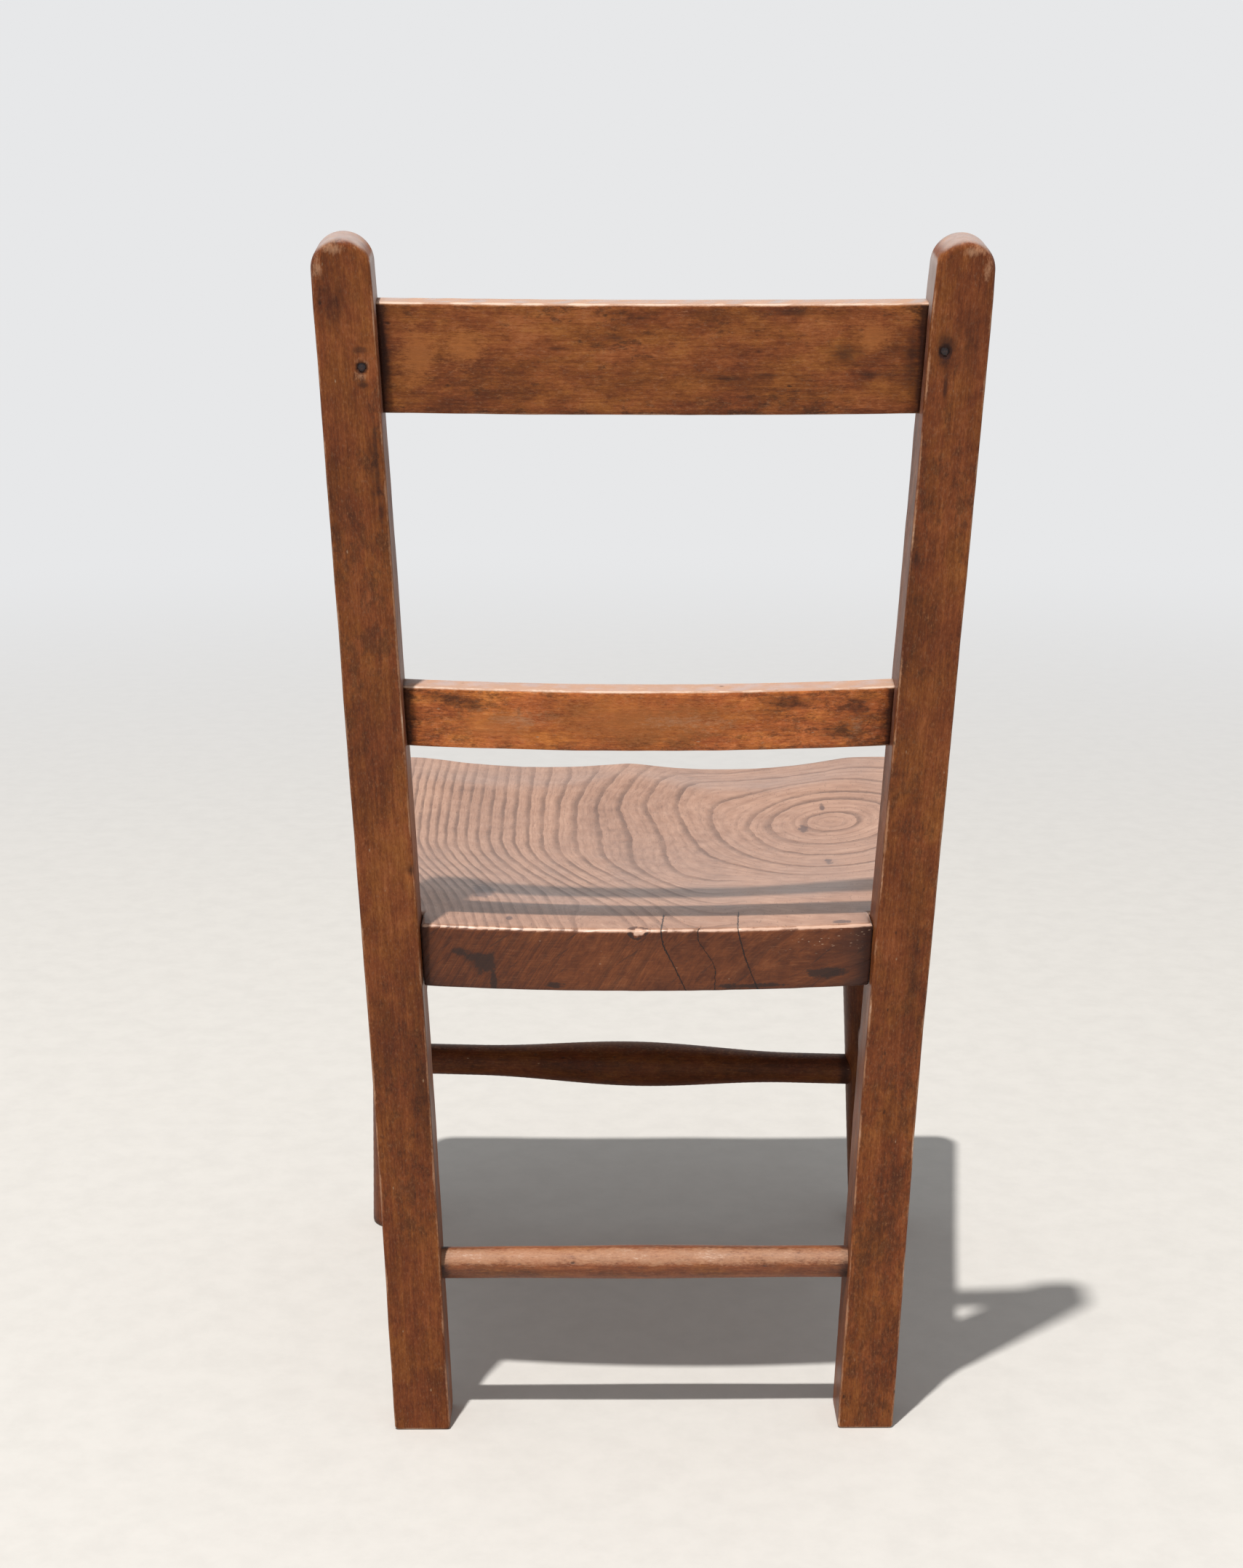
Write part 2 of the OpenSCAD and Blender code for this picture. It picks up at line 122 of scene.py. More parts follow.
def post_x(z):
    return POST_FOOT_X + z * math.tan(SPLAY)


def post_inner_x(z):
    return post_x(z) - half_width(run_at(z)) / math.cos(SPLAY)


def post_outer_x(z):
    return post_x(z) + half_width(run_at(z)) / math.cos(SPLAY)


def post_middle(side, z):
    return np.array([side * post_x(z), float(back_face_y(z)) - POST_D / 2 / math.cos(KICK), z])


SEAT_Y = float(back_face_y(SEAT_H)) - SEAT_SETBACK
SEAT_RUN = SEAT_L - SEAT_BACK_BOW
SEAT_FLARE = (SEAT_FRONT_W - SEAT_BACK_W) / 2 / (SEAT_RUN - POST_D + SEAT_SETBACK)
FLARE_ANGLE = math.atan(SEAT_FLARE)


def seat_half_w(y):
    return SEAT_FRONT_W / 2 - (y + SEAT_RUN) * SEAT_FLARE


LEG_TOP_Y = LEG_FRONT_INSET - SEAT_RUN
LEG_TOP = np.array([
    seat_half_w(LEG_TOP_Y) - LEG_SIDE_INSET,
    SEAT_Y + LEG_TOP_Y * math.cos(SEAT_PITCH) - SEAT_T * math.sin(SEAT_PITCH),
    SEAT_H - LEG_TOP_Y * math.sin(SEAT_PITCH) - SEAT_T * math.cos(SEAT_PITCH)])
LEG_AXIS = np.array([math.cos(LEG_RAKE) * math.sin(LEG_SPLAY), -math.sin(LEG_RAKE),
                     -math.cos(LEG_RAKE) * math.cos(LEG_SPLAY)])
LEG_L = LEG_TOP[2] / -LEG_AXIS[2]


def leg_middle(side, z):
    p = LEG_TOP + LEG_AXIS * (z - LEG_TOP[2]) / LEG_AXIS[2]
    return np.array([side * p[0], p[1], p[2]])


BACK_REACH = BEND[0] + RUN_TOP * math.sin(RAKE)
FRONT_REACH = SEAT_RUN * math.cos(SEAT_PITCH) + SEAT_T * math.sin(SEAT_PITCH) - SEAT_Y
CENTRE_Y = (FRONT_REACH - BACK_REACH) / 2
TOP_RAIL_RUN = RUN_TOP - TOP_RAIL_DROP - TOP_RAIL_H
MID_RAIL_RUN = run_at(SEAT_H + MID_RAIL_RISE)
SCREW_Z = SEAT_H - SEAT_T / 2


def raked(x, y, run):
    """Chair position of a point given along the leaning upper back face."""
    return np.stack(np.broadcast_arrays(
        x, BEND[0] + y * math.cos(RAKE) + run * math.sin(RAKE),
        BEND[1] - y * math.sin(RAKE) + run * math.cos(RAKE)), -1)


def nail_place(name):
    """(x, run) of a rail nail on the leaning back face, with x towards its own side."""
    run = TOP_RAIL_RUN + TOP_RAIL_H / 2 + NAIL_RISE[name]
    return post_inner_x(z_at(run)) + NAIL_INSET, run


# ---- small helpers for shapes ----

NO_STAIN = -2.0   # well outside every stain


def waves(p, length, seed, count=7):
    """Smooth noise from -1 to 1, made of seeded sine waves about as long as length."""
    rng = np.random.RandomState(seed)
    total = np.zeros(p.shape[:-1])
    for _ in range(count):
        k = rng.normal(size=p.shape[-1])
        k *= rng.uniform(0.6, 1.5) * 2 * math.pi / length / np.linalg.norm(k)
        total += np.sin(p @ k + rng.uniform(0, 2 * math.pi))
    return total / count ** 0.5 / 1.6


def smooth(x, low, high):
    u = np.clip((x - low) / (high - low), 0, 1)
    return u * u * (3 - 2 * u)


def blots(a, b, marks):
    """How far inside the nearest oval mark a point lies: 1 at its middle, 0 on its rim, less outside.

    A mark is (a, b, half length along a, half length along b).
    """
    depth = np.full(np.shape(a), NO_STAIN)
    for ca, cb, ra, rb in marks:
        depth = np.maximum(depth, 1 - np.hypot((a - ca) / ra, (b - cb) / rb))
    return depth


def inside(a, b, marks, gain=1.0):
    return np.clip(gain * blots(a, b, marks), 0, 1)


def uneven(wood, depth, broad, fine, seed):
    """How far worn hand work lies inside the CAD surface. broad and fine are its (height, length) of wave."""
    return depth + broad[0] * waves(wood, broad[1], seed) + fine[0] * waves(wood, fine[1], seed + 1)


def wear_of(edge, wood, seed):
    """Worn edges come and go along a piece."""
    return edge * (0.55 + 0.45 * waves(wood, 38, seed))


def grid_faces(ix):
    """Quads between the neighbours of a 2-D array of vertex numbers."""
    return np.stack([ix[:-1, :-1], ix[:-1, 1:], ix[1:, 1:], ix[1:, :-1]], -1).reshape(-1, 4)


def ring_faces(ix):
    """Quads between successive closed loops, one loop a row."""
    return grid_faces(np.concatenate([ix, ix[:, :1]], 1))


def close_mesh(name, points, polygons):
    """A mesh of a closed piece with every face turned outward."""
    mesh = bpy.data.meshes.new(name)
    mesh.from_pydata(points.tolist(), [], polygons)
    shaped = bmesh.new()
    shaped.from_mesh(mesh)
    bmesh.ops.recalc_face_normals(shaped, faces=shaped.faces)
    shaped.to_mesh(mesh)
    shaped.free()
    return mesh


def make_piece(node, slot, material, points, faces, caps=(), sink=None, **marks):
    """The finished piece that stands for a CAD node, from points in the chair frame.

    sink moves points inward along their normals, and marks are its vertex attributes.
    """
    name = f"{node}_look"
    mesh = close_mesh(name, points, [f for group in faces for f in group.tolist()] + [list(c) for c in caps])
    if sink is not None:
        normals = np.zeros(points.size, np.float32)
        mesh.vertex_normals.foreach_get("vector", normals)
        points = points - normals.reshape(-1, 3) * np.maximum(sink, 0)[:, None]
    placed = (points + [0, CENTRE_Y, 0]) * MM
    placed[:, 2] = np.maximum(placed[:, 2], 0)
    mesh.vertices.foreach_set("co", placed.astype(np.float32).ravel())
    for label, values in marks.items():
        values = np.asarray(values, np.float32)
        kind, key = ("FLOAT", "value") if values.ndim == 1 else ("FLOAT_VECTOR", "vector")
        mesh.attributes.new(label, kind, "POINT").data.foreach_set(key, values.ravel())
    mesh.shade_smooth()
    mesh.validate()
    piece = bpy.data.objects.new(name, mesh)
    bpy.context.scene.collection.objects.link(piece)
    mesh.materials.append(material)
    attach(piece, "root")
    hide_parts(node)
    return piece


# ---- materials ----


class Value:
    """An output of a node. Sums, differences and products of values make Math nodes."""

    def __init__(self, graph, socket):
        self.graph, self.socket = graph, socket

    def other(self, output):
        """Another output of the same node."""
        return Value(self.graph, self.socket.node.outputs[output])

    def __add__(self, value):
        return self.graph.math("ADD", self, value)

    def __sub__(self, value):
        return self.graph.math("SUBTRACT", self, value)

    def __rsub__(self, value):
        return self.graph.math("SUBTRACT", value, self)

    def __mul__(self, value):
        return self.graph.math("MULTIPLY", self, value)


class Graph:
    """The node tree of a material or world. An input may be a value, a number or a tuple."""

    def __init__(self, owner):
        owner.use_nodes = True
        self.owner, self.tree = owner, owner.node_tree
        self.tree.nodes.clear()

    def put(self, socket, value):
        if isinstance(value, Value):
            self.tree.links.new(value.socket, socket)
        else:
            socket.default_value = (*value, 1) if socket.type == "RGBA" else value

    def node(self, kind, inputs=(), output=0, **settings):
        made = self.tree.nodes.new("ShaderNode" + kind)
        for key, value in settings.items():
            setattr(made, key, value)
        for key, value in dict(inputs).items():
            self.put(made.inputs[key], value)
        return Value(self, made.outputs[output])

    def attribute(self, name, output="Fac"):
        return self.node("Attribute", output=output, attribute_name=name)

    def math(self, operation, *values):
        return self.node("Math", dict(enumerate(values)), operation=operation)

    def larger(self, a, b):
        return self.math("MAXIMUM", a, b)

    def split(self, vector):
        x = self.node("SeparateXYZ", {0: vector})
        return x, x.other(1), x.other(2)

    def joined(self, x, y, z):
        return self.node("CombineXYZ", {0: x, 1: y, 2: z})

    def scaled(self, vector, by, shift=(0, 0, 0)):
        return self.node("VectorMath", {0: vector, 1: by, 2: shift}, operation="MULTIPLY_ADD")

    def noise(self, vector, scale, detail, roughness, distortion=0.0):
        return self.node("TexNoise", {"Vector": vector, "Scale": scale, "Detail": detail,
                                      "Roughness": roughness, "Distortion": distortion})

    def step(self, value, low, high, start=0.0, end=1.0):
        return self.node("MapRange", {0: value, 1: low, 2: high, 3: start, 4: end},
                         interpolation_type="SMOOTHSTEP")

    def flecks(self, vector, rim, chance, rough=None, favour=None):
        """Small spots, at most one in each cell of a vector.

        rim is the (outer, inner) radius of a spot and rough unsettles it. chance is the (low, high) of the
        cell's random number at which spots begin, and favour raises that number.
        """
        near = self.node("TexVoronoi", {"Vector": vector, "Scale": 1.0, "Randomness": 1.0})
        lucky = self.node("SeparateColor", {0: near.other("Color")})
        return (self.step(near if rough is None else near + rough, *rim)
                * self.step(lucky if favour is None else lucky + favour, *chance))

    def ramp(self, value, *stops):
        made = self.node("ValToRGB", {0: value})
        band = made.socket.node.color_ramp
        while len(band.elements) < len(stops):
            band.elements.new(0.5)
        for element, (position, colour) in zip(band.elements, stops):
            element.position = position
            element.color = (*colour, 1)
        return made

    def mix(self, factor, a, b, how="MIX"):
        return self.node("Mix", {0: factor, 6: a, 7: b}, 2, data_type="RGBA", blend_type=how)

    def surface(self, kind, shader):
        out = self.tree.nodes.new("ShaderNode" + kind)
        self.put(out.inputs[0], shader)
        return self.owner

    def finish(self, colour, roughness, height, strength, distance, **constants):
        bump = self.node("Bump", {"Height": height, "Strength": strength, "Distance": distance})
        inputs = {key.replace("_", " "): value for key, value in constants.items()}
        inputs.update({"Base Color": colour, "Roughness": roughness, "Normal": bump})
        return self.surface("OutputMaterial", self.node("BsdfPrincipled", inputs))


# Colours are linear. Tones run from the darkest up, and the beech's are for light and gold of 1. light is
# painted light and shade: it makes a part's tones brighter where the key lights it well and darker where it
# stands in shade.
BEECH_TONES = [(0.18, (0.052, 0.0130, 0.0045)), (0.38, (0.112, 0.0280, 0.0075)),
               (0.50, (0.172, 0.0460, 0.0110)), (0.62, (0.245, 0.0740, 0.0190)),
               (0.80, (0.350, 0.1260, 0.0400))]
BEECH_GRIT_PALE, BEECH_GRIT_DARK = (0.33, 0.200, 0.120), (0.030, 0.012, 0.007)
BEECH_GOLDEN, BEECH_MAROON = (1.01, 1.07, 0.94), (0.98, 0.92, 1.05)   # tints
BEECH_THICK_STAIN, BEECH_RAY = (0.042, 0.016, 0.008), (0.05, 0.015, 0.006)
BEECH_GRIME_AND_SHADE, BEECH_MARK, BEECH_KNOCK = (0.020, 0.0065, 0.005), (0.024, 0.008, 0.006), (0.018, 0.008, 0.005)
BEECH_WARM, BEECH_PAINTED_SHEEN = (0.400, 0.138, 0.038), (0.44, 0.370, 0.345)
BEECH_RUBBED_AND_HIGHLIGHT, BEECH_BARE_AND_HIGHLIGHT, BEECH_NICK = (0.46, 0.245, 0.140), (0.64, 0.48, 0.38), (0.40, 0.25, 0.15)
ELM_TOP_TONES = [(0.2, (0.170, 0.082, 0.050)), (0.40, (0.300, 0.155, 0.098)),
                 (0.60, (0.400, 0.225, 0.152)), (0.8, (0.510, 0.310, 0.215))]
ELM_END_TONES = [(0.15, (0.030, 0.007, 0.002)), (0.42, (0.086, 0.019, 0.004)),
                 (0.6, (0.158, 0.041, 0.010)), (0.85, (0.275, 0.092, 0.030))]
ELM_SAW_DARK, ELM_SAW_PALE = (0.034, 0.009, 0.005), (0.300, 0.125, 0.055)
ELM_RING_TOP, ELM_RING_END = (0.072, 0.036, 0.026), (0.030, 0.011, 0.008)
ELM_STAIN_TOP, ELM_STAIN_END = (0.085, 0.042, 0.033), (0.017, 0.0085, 0.007)
ELM_PORE, ELM_GRIME_AND_SHADE, ELM_CRACK = (0.060, 0.026, 0.017), (0.026, 0.012, 0.010), (0.010, 0.005, 0.004)
ELM_BARE_AND_HIGHLIGHT, ELM_NICK = (0.66, 0.43, 0.32), (0.46, 0.31, 0.21)
IRON_TONES = [(0.3, (0.010, 0.007, 0.009)), (0.50, (0.028, 0.017, 0.018)), (0.68, (0.090, 0.034, 0.022))]


def stained_beech(name, seed, light=1.0, cloudy=1.0, gold=1.0, gloss=0.16):
    """Beech with an old brown stain: long fine grain, clouds, pale worn arrises, dirt and painted shade, and
    nicks.
    """
    g = Graph(bpy.data.materials.new(name))
    wood = g.scaled(g.attribute("wood", "Vector"), (1, 1, 1), (seed * 61.0, seed * 37.0, seed * 83.0))

    def drawn(stretch, scale, detail, roughness, distortion=0.0, shift=(0, 0, 0)):
        """Noise drawn out along the grain."""
        return g.noise(g.scaled(wood, (1, 1, stretch), shift), scale, detail, roughness, distortion)

    cloud = drawn(0.4, 0.04, 4, 0.55)
    streak = drawn(0.05, 0.8, 5, 0.62)
    fine = drawn(0.16, 2.0, 3, 0.65)
    mottle = drawn(0.62, 0.16, 8, 0.72, 0.3)
    patch = drawn(0.5, 0.21, 8, 0.78, 0.25)
    zone = drawn(0.5, 0.023, 3, 0.5, shift=(31, 17, 5))
    grit = drawn(0.45, 1.05, 4, 0.75)
    hue = drawn(0.45, 0.075, 5, 0.68, shift=(11, 29, 43))
    tone = (cloud * (0.55 * cloudy) + streak * 0.42 + mottle * (0.5 * cloudy) + fine * 0.36
            + (0.5 - (0.525 * cloudy + 0.39)))
    colour = g.ramp(tone, *((at, (r * light, gr * light * gold, b * light * gold))
                            for at, (r, gr, b) in BEECH_TONES))
    # the brown turns golden in some places and maroon in others
    golden, maroon = (g.mix(1.0, colour, tint, "MULTIPLY") for tint in (BEECH_GOLDEN, BEECH_MAROON))
    colour = g.mix(g.step(hue, 0.38, 0.62), maroon, golden)
    # patches where the stain lies thicker and darker
    thick = g.step(patch + zone * 0.55 - 0.275, 0.52, 0.66)
    colour = g.mix(thick * (0.52 * cloudy), colour, BEECH_THICK_STAIN)
    colour = g.mix(g.step(grit, 0.50, 0.80, 0.0, 0.30), colour, tuple(c * light for c in BEECH_GRIT_PALE))
    colour = g.mix(g.step(grit, 0.50, 0.22, 0.0, 0.38), colour, BEECH_GRIT_DARK)
    # rays: short narrow flecks, darker than the wood round them
    rays = g.flecks(g.scaled(wood, (1.9, 1.9, 0.42)), (0.34, 0.12), (0.35, 0.75))
    colour = g.mix(rays * 0.34, colour, BEECH_RAY)
    # dirt and painted shade in the corners, and marks of the stain, broken up by the wood
    breaks = patch * 1.9 + fine * 0.7 - 1.3
    ragged = breaks + grit * 1.1 - 0.55
    dirt_and_shade = g.step(g.attribute("grime") + breaks * 0.6, 0.12, 0.80)
    colour = g.mix(dirt_and_shade * 0.88, colour, BEECH_GRIME_AND_SHADE)
    mark = g.step(g.attribute("stain") + ragged, -0.05, 0.95)
    colour = g.mix(mark * 0.66, colour, BEECH_MARK)
    glow = g.step(g.attribute("warm") + ragged * 0.9, 0.10, 0.80, 0.0, 0.60)
    colour = g.mix(glow, colour, BEECH_WARM)
    # pale wood where the finish has been rubbed or knocked away, which also carries painted highlights and
    # painted light on tops; and a painted sheen, pale as a sky reflection, on the caps' tops, the posts'
    # upper inner walls and the rails' tops
    pale = g.attribute("bleach") + mottle * 0.5 - 0.25
    colour = g.mix(g.step(pale, 0.12, 1.0, 0.0, 0.85), colour, BEECH_PAINTED_SHEEN)
    bare = g.attribute("wear") + ragged * 0.7
    colour = g.mix(g.step(bare, 0.22, 0.85, 0.0, 0.66), colour, BEECH_RUBBED_AND_HIGHLIGHT)
    colour = g.mix(g.step(bare, 0.80, 1.30, 0.0, 0.85), colour, BEECH_BARE_AND_HIGHLIGHT)
    nicks = g.flecks(g.scaled(wood, (0.16, 0.16, 0.075)), (0.19, 0.13), (0.62, 0.66), fine * 0.22)
    colour = g.mix(nicks * 0.65, colour, BEECH_NICK)
    knocks = g.flecks(g.scaled(wood, (0.11, 0.11, 0.06), (7, 3, 5)), (0.15, 0.07), (0.60, 0.65), fine * 0.1)
    colour = g.mix(knocks * 0.7, colour, BEECH_KNOCK)
    rough = g.step(cloud, 0.35, 0.7, 0.36, 0.50) + dirt_and_shade * 0.15 + g.step(bare, 0.2, 0.8) * 0.16 + fine * 0.08
    height = (fine * 0.5 + streak * 0.6 + nicks * -2.0 + knocks * -2.0 + mottle * 0.4 + rays * -0.25)
    return g.finish(colour, rough, height, 0.5, 0.0002, Specular_IOR_Level=gloss, Coat_Weight=0.02,
                    Coat_Roughness=0.25)


def old_elm(name):
    """The seat's elm: dark rings of open pores that sweep round two knots, and end grain on its edges."""
    g = Graph(bpy.data.materials.new(name))
    wood = g.attribute("wood", "Vector")
    x, y, z = g.split(wood)
    ring, gap, end = g.attribute("ring"), g.attribute("gap"), g.attribute("end_grain")
    mottle = g.noise(wood, 0.11, 6, 0.66, 0.3)
    cloud = g.noise(g.scaled(wood, (1, 0.5, 1)), 0.022, 4, 0.55)
    flow = g.joined(ring * 9.0, y * 0.11, z * 0.16)
    grain = g.noise(flow, 1.0, 4, 0.62)
    hair = g.noise(g.scaled(flow, (5.5, 2.4, 2.4)), 1.0, 3, 0.6)
    wobble = (g.noise(wood, 0.12, 3, 0.6) - 0.5) * 0.16
    turn = g.math("FRACT", ring + wobble)
    after = turn * gap            # mm past the last ring line
    before = (1.0 - turn) * gap   # mm short of the next one
    swell = g.step(g.noise(wood, 0.045, 3, 0.6), 0.3, 0.7, 0.7, 1.35)
    wide = swell * g.math("MINIMUM", 4.4, gap * 0.47)
    line = g.larger(g.step(g.math("DIVIDE", after, wide), 1.0, 0.15), g.step(before, 0.7, 0.1))
    second = g.math("FRACT", ring * 3.0 + wobble * 5.0)
    second = g.step(second, 0.45, 0.1) * g.step(gap, 4.5, 9.0) * 0.22
    broken = g.step(grain * 0.6 + hair * 0.4, 0.30, 0.52)
    shade = g.step(g.noise(wood, 0.03, 3, 0.6, 0.4), 0.32, 0.62, 0.55, 1.0)
    rings = g.larger(line * (broken * 0.58 + 0.42) * shade, second) * (1.0 - g.attribute("faint"))
    tone = cloud * 0.55 + grain * 0.55 + mottle * 0.45 + hair * 0.25 - 0.4
    colour = g.mix(end, g.ramp(tone, *ELM_TOP_TONES), g.ramp(tone, *ELM_END_TONES))
    # the end grain's fine level streaks, left by the saw
    band = g.noise(g.scaled(wood, (0.13, 0.13, 1.5)), 1.0, 4, 0.68)
    colour = g.mix(g.step(band, 0.50, 0.25) * (end * 0.42), colour, ELM_SAW_DARK)
    colour = g.mix(g.step(band, 0.52, 0.78) * (end * 0.34), colour, ELM_SAW_PALE)
    # rays of the end grain cross its rings
    slant = g.joined((x * 0.62 + z * -0.78) * 0.55, (x * 0.78 + z * 0.62) * 0.03, 0.0)
    rays = g.step(g.noise(slant, 1.0, 4, 0.7, 0.2), 0.60, 0.66) * end * 0.5
    colour = g.mix(rays, colour, ELM_RING_END)
    colour = g.mix(rings * (end * -0.36 + 0.66), colour, g.mix(end, ELM_RING_TOP, ELM_RING_END))
    # pores: short dark dashes, thickest beside the ring lines
    pores = g.flecks(g.scaled(wood, (1.15, 0.22, 1.15)), (0.36, 0.14), (0.72, 0.86), favour=line * 0.45)
    colour = g.mix(pores * 0.42, colour, ELM_PORE)
    breaks = mottle * 2.6 + hair * 0.6 - 1.6
    stain = g.step(g.attribute("stain") + breaks + band * 0.8 - 0.4, 0.0, 0.42)
    colour = g.mix(stain * 0.82, colour, g.mix(end, ELM_STAIN_TOP, ELM_STAIN_END))
    # darker round the posts, low on the edges and on the underside: dirt, and painted shade
    dirt_and_shade = g.step(g.attribute("grime") + mottle * 0.9 - 0.45, 0.1, 0.8)
    colour = g.mix(dirt_and_shade * 0.8, colour, ELM_GRIME_AND_SHADE)
    # pale worn wood, which along the back edge's arris is also a painted highlight
    bare = g.attribute("wear") + mottle * 0.8 + hair * 0.3 + line * -0.35 - 0.50
    colour = g.mix(g.step(bare, 0.2, 0.8, 0.0, 0.8), colour, ELM_BARE_AND_HIGHLIGHT)
    # nicks all over the end grain, and level rows of pale chips at the upper right of the back edge
    nicks = g.flecks(g.scaled(wood, (0.14, 0.14, 0.2)), (0.17, 0.12), (0.5, 0.55), hair * 0.2)
    frost = g.flecks(g.scaled(wood, (0.34, 0.34, 1.05), (3, 9, 4)), (0.46, 0.34), (0.38, 0.46), hair * 0.4)
    frost = frost * g.step(x, 50, 84) * g.step(z, -19, -7) * g.step(band, 0.40, 0.56)
    nicks = g.larger(nicks, frost) * end
    colour = g.mix(nicks * 0.72, colour, ELM_NICK)
    # hairline cracks at the back edge
    shake = (g.noise(wood, 0.5, 4, 0.7) - 0.5) * 1.8
    cracks = 0.0
    for near, wide in zip(g.split(g.attribute("cracks", "Vector")), (0.34, 0.30, 0.20)):
        cracks = g.larger(cracks, g.step(g.math("ABSOLUTE", near + shake), wide + 0.12, wide - 0.12))
    colour = g.mix(cracks * 0.92, colour, ELM_CRACK)
    rough = g.step(cloud, 0.35, 0.7, 0.26, 0.38) + rings * 0.12 + dirt_and_shade * 0.15 + hair * 0.06 + end * 0.08
    height = (rings * -1.1 + grain * 0.4 + hair * 0.3 + pores * -0.5 + rays * -0.8 + cracks * -3.0
              + nicks * -2.0)
    return g.finish(colour, rough, height, 0.45, 0.00024, Specular_IOR_Level=0.28, Coat_Weight=0.10,
                    Coat_Roughness=0.2, Sheen_Weight=0.22, Sheen_Roughness=0.35, Sheen_Tint=(1.0, 0.93, 0.90))


def old_iron(name):
    """Dark hammered iron with brown rust."""
    g = Graph(bpy.data.materials.new(name))
    place = g.scaled(g.node("TexCoord", output="Object"), (1000, 1000, 1000))
    rust = g.noise(place, 0.9, 5, 0.7)
    pits = g.noise(place, 3.1, 3, 0.6)
    return g.finish(g.ramp(rust, *IRON_TONES), g.step(rust, 0.3, 0.7, 0.28, 0.70), rust + pits * 0.5,
                    0.6, 0.00025, Metallic=0.3)


# light above 1 paints the top and mid rails brighter, as lit by the key, and below 1 paints the legs and the
# front stretcher darker, as in the shade under the seat; the plugs are darker too.
POST_WOOD = {"left": stained_beech("beech_post_left", 1), "right": stained_beech("beech_post_right", 2)}
TOP_RAIL_WOOD = stained_beech("beech_top_rail", 3, 1.2, 1.3, 1.06)
MID_RAIL_WOOD = stained_beech("beech_mid_rail", 4, 2.4, 1.15, 1.06)
LEG_WOOD = {"left": stained_beech("beech_leg_left", 5, 0.8, 0.9),
            "right": stained_beech("beech_leg_right", 6, 0.65, 0.9)}
FRONT_ROD_WOOD = stained_beech("beech_front_stretcher", 7, 0.60, 1.1)
REAR_ROD_WOOD = stained_beech("beech_rear_stretcher", 8, gloss=0.45)
SIDE_ROD_WOOD = {"left": stained_beech("beech_side_left", 9), "right": stained_beech("beech_side_right", 10)}
PLUG_WOOD = stained_beech("beech_plugs", 11, 0.75, 0.8)
SEAT_WOOD = old_elm("elm_seat")
IRON = old_iron("old_iron")

# ---- back posts ----

ARRIS_STEPS = 5
ARRIS_TURNS = [math.pi / 2 * i / ARRIS_STEPS for i in range(ARRIS_STEPS + 1)]
POST_ROW = 1.5      # spacing of the rows up a post
POST_COLUMNS = 36
POST_WALL = 14
CAP_STEPS = 16
FOOT_CORNER = 2.0
FOOT_STEPS = 4
FOOT_LEVELLED = 40  # height over which a post's square end is turned level with the floor
POST_ROWS = int((POST_SHOULDER - FOOT_CORNER) / POST_ROW)
POST_HALF = FOOT_STEPS + 1 + POST_ROWS + CAP_STEPS - 1   # points on half an outline, but for its very top


def post_path(up):
    """(points on the back face as (y, z), lean there) at distances up that face."""
    lean = KICK + np.clip((up - BEND_START) / BEND_R, 0, RAKE - KICK)
    straight = uphill(np.full_like(up, KICK)) * up[..., None]
    bent = BEND_CENTRE - back_normal(lean) * BEND_R
    leaning = BEND + uphill(np.full_like(up, RAKE)) * (up - UP_FROM_RUN)[..., None]
    low, high = (up < BEND_START)[..., None], (up > BEND_END)[..., None]
    return np.where(low, straight, np.where(high, leaning, bent)), lean


def post_depth(up):
    top = RUN_TOP + UP_FROM_RUN
    return POST_D + (POST_TOP_D - POST_D) * np.clip((up - BEND_END) / (top - BEND_END), 0, 1)


def place_post(side, x, up, depth):
    """Chair position of a point across, up and into a post."""
    path, lean = post_path(up)
    yz = path - back_normal(lean) * depth[..., None]
    tilt = side * SPLAY
    px = side * POST_FOOT_X + x * math.cos(tilt) + yz[..., 1] * math.sin(tilt)
    pz = -x * math.sin(tilt) + yz[..., 1] * math.cos(tilt)
    foot_z = -x * math.sin(tilt) + depth * math.sin(KICK) * math.cos(tilt)
    pz = pz - foot_z * np.clip(1 - up / FOOT_LEVELLED, 0, 1) ** 2
    return np.stack([px, yz[..., 0], pz], -1)


def post_outline(inset):
    """The right half of a post's outline seen from behind, moved inward by inset.

    It gives (x, up) from the foot to below the very top, and the very top's up.
    """
    foot, cap = FOOT_STEPS + 1, FOOT_STEPS + 1 + POST_ROWS
    turn = np.linspace(-math.pi / 2, 0, foot)
    r = FOOT_CORNER - inset[:foot]
    corner = np.stack([half_width(RUN_FOOT) - FOOT_CORNER + r * np.cos(turn),
                       FOOT_CORNER + r * np.sin(turn)], -1)
    up = np.linspace(FOOT_CORNER, POST_SHOULDER, POST_ROWS + 1)[1:]
    run = (post_path(up)[0] - BEND) @ uphill(RAKE)
    side = np.stack([half_width(run) - inset[foot:cap], up], -1)
    turn = np.linspace(0, math.pi / 2, CAP_STEPS + 1)[1:-1]
    r = POST_TOP_W / 2 - inset[cap:-1]
    round_top = np.stack([r * np.cos(turn), POST_SHOULDER + r * np.sin(turn)], -1)
    return np.concatenate([corner, side, round_top]), POST_SHOULDER + POST_TOP_W / 2 - inset[-1]


def post_arris(seed):
    """Arris radius up the outline: worn rounder at the top and here and there."""
    flat = post_outline(np.zeros(POST_HALF + 1))[0]
    up = np.append(flat[:, 1], flat[-1, 1])
    radius = (1.45 + 0.35 * waves(up[:, None], 70, seed)
              + 2.5 * smooth(up, POST_SHOULDER - 18, POST_SHOULDER + 8))
    return np.clip(radius, 1.0, np.where(up < 4, 0.9 * FOOT_CORNER, 6))


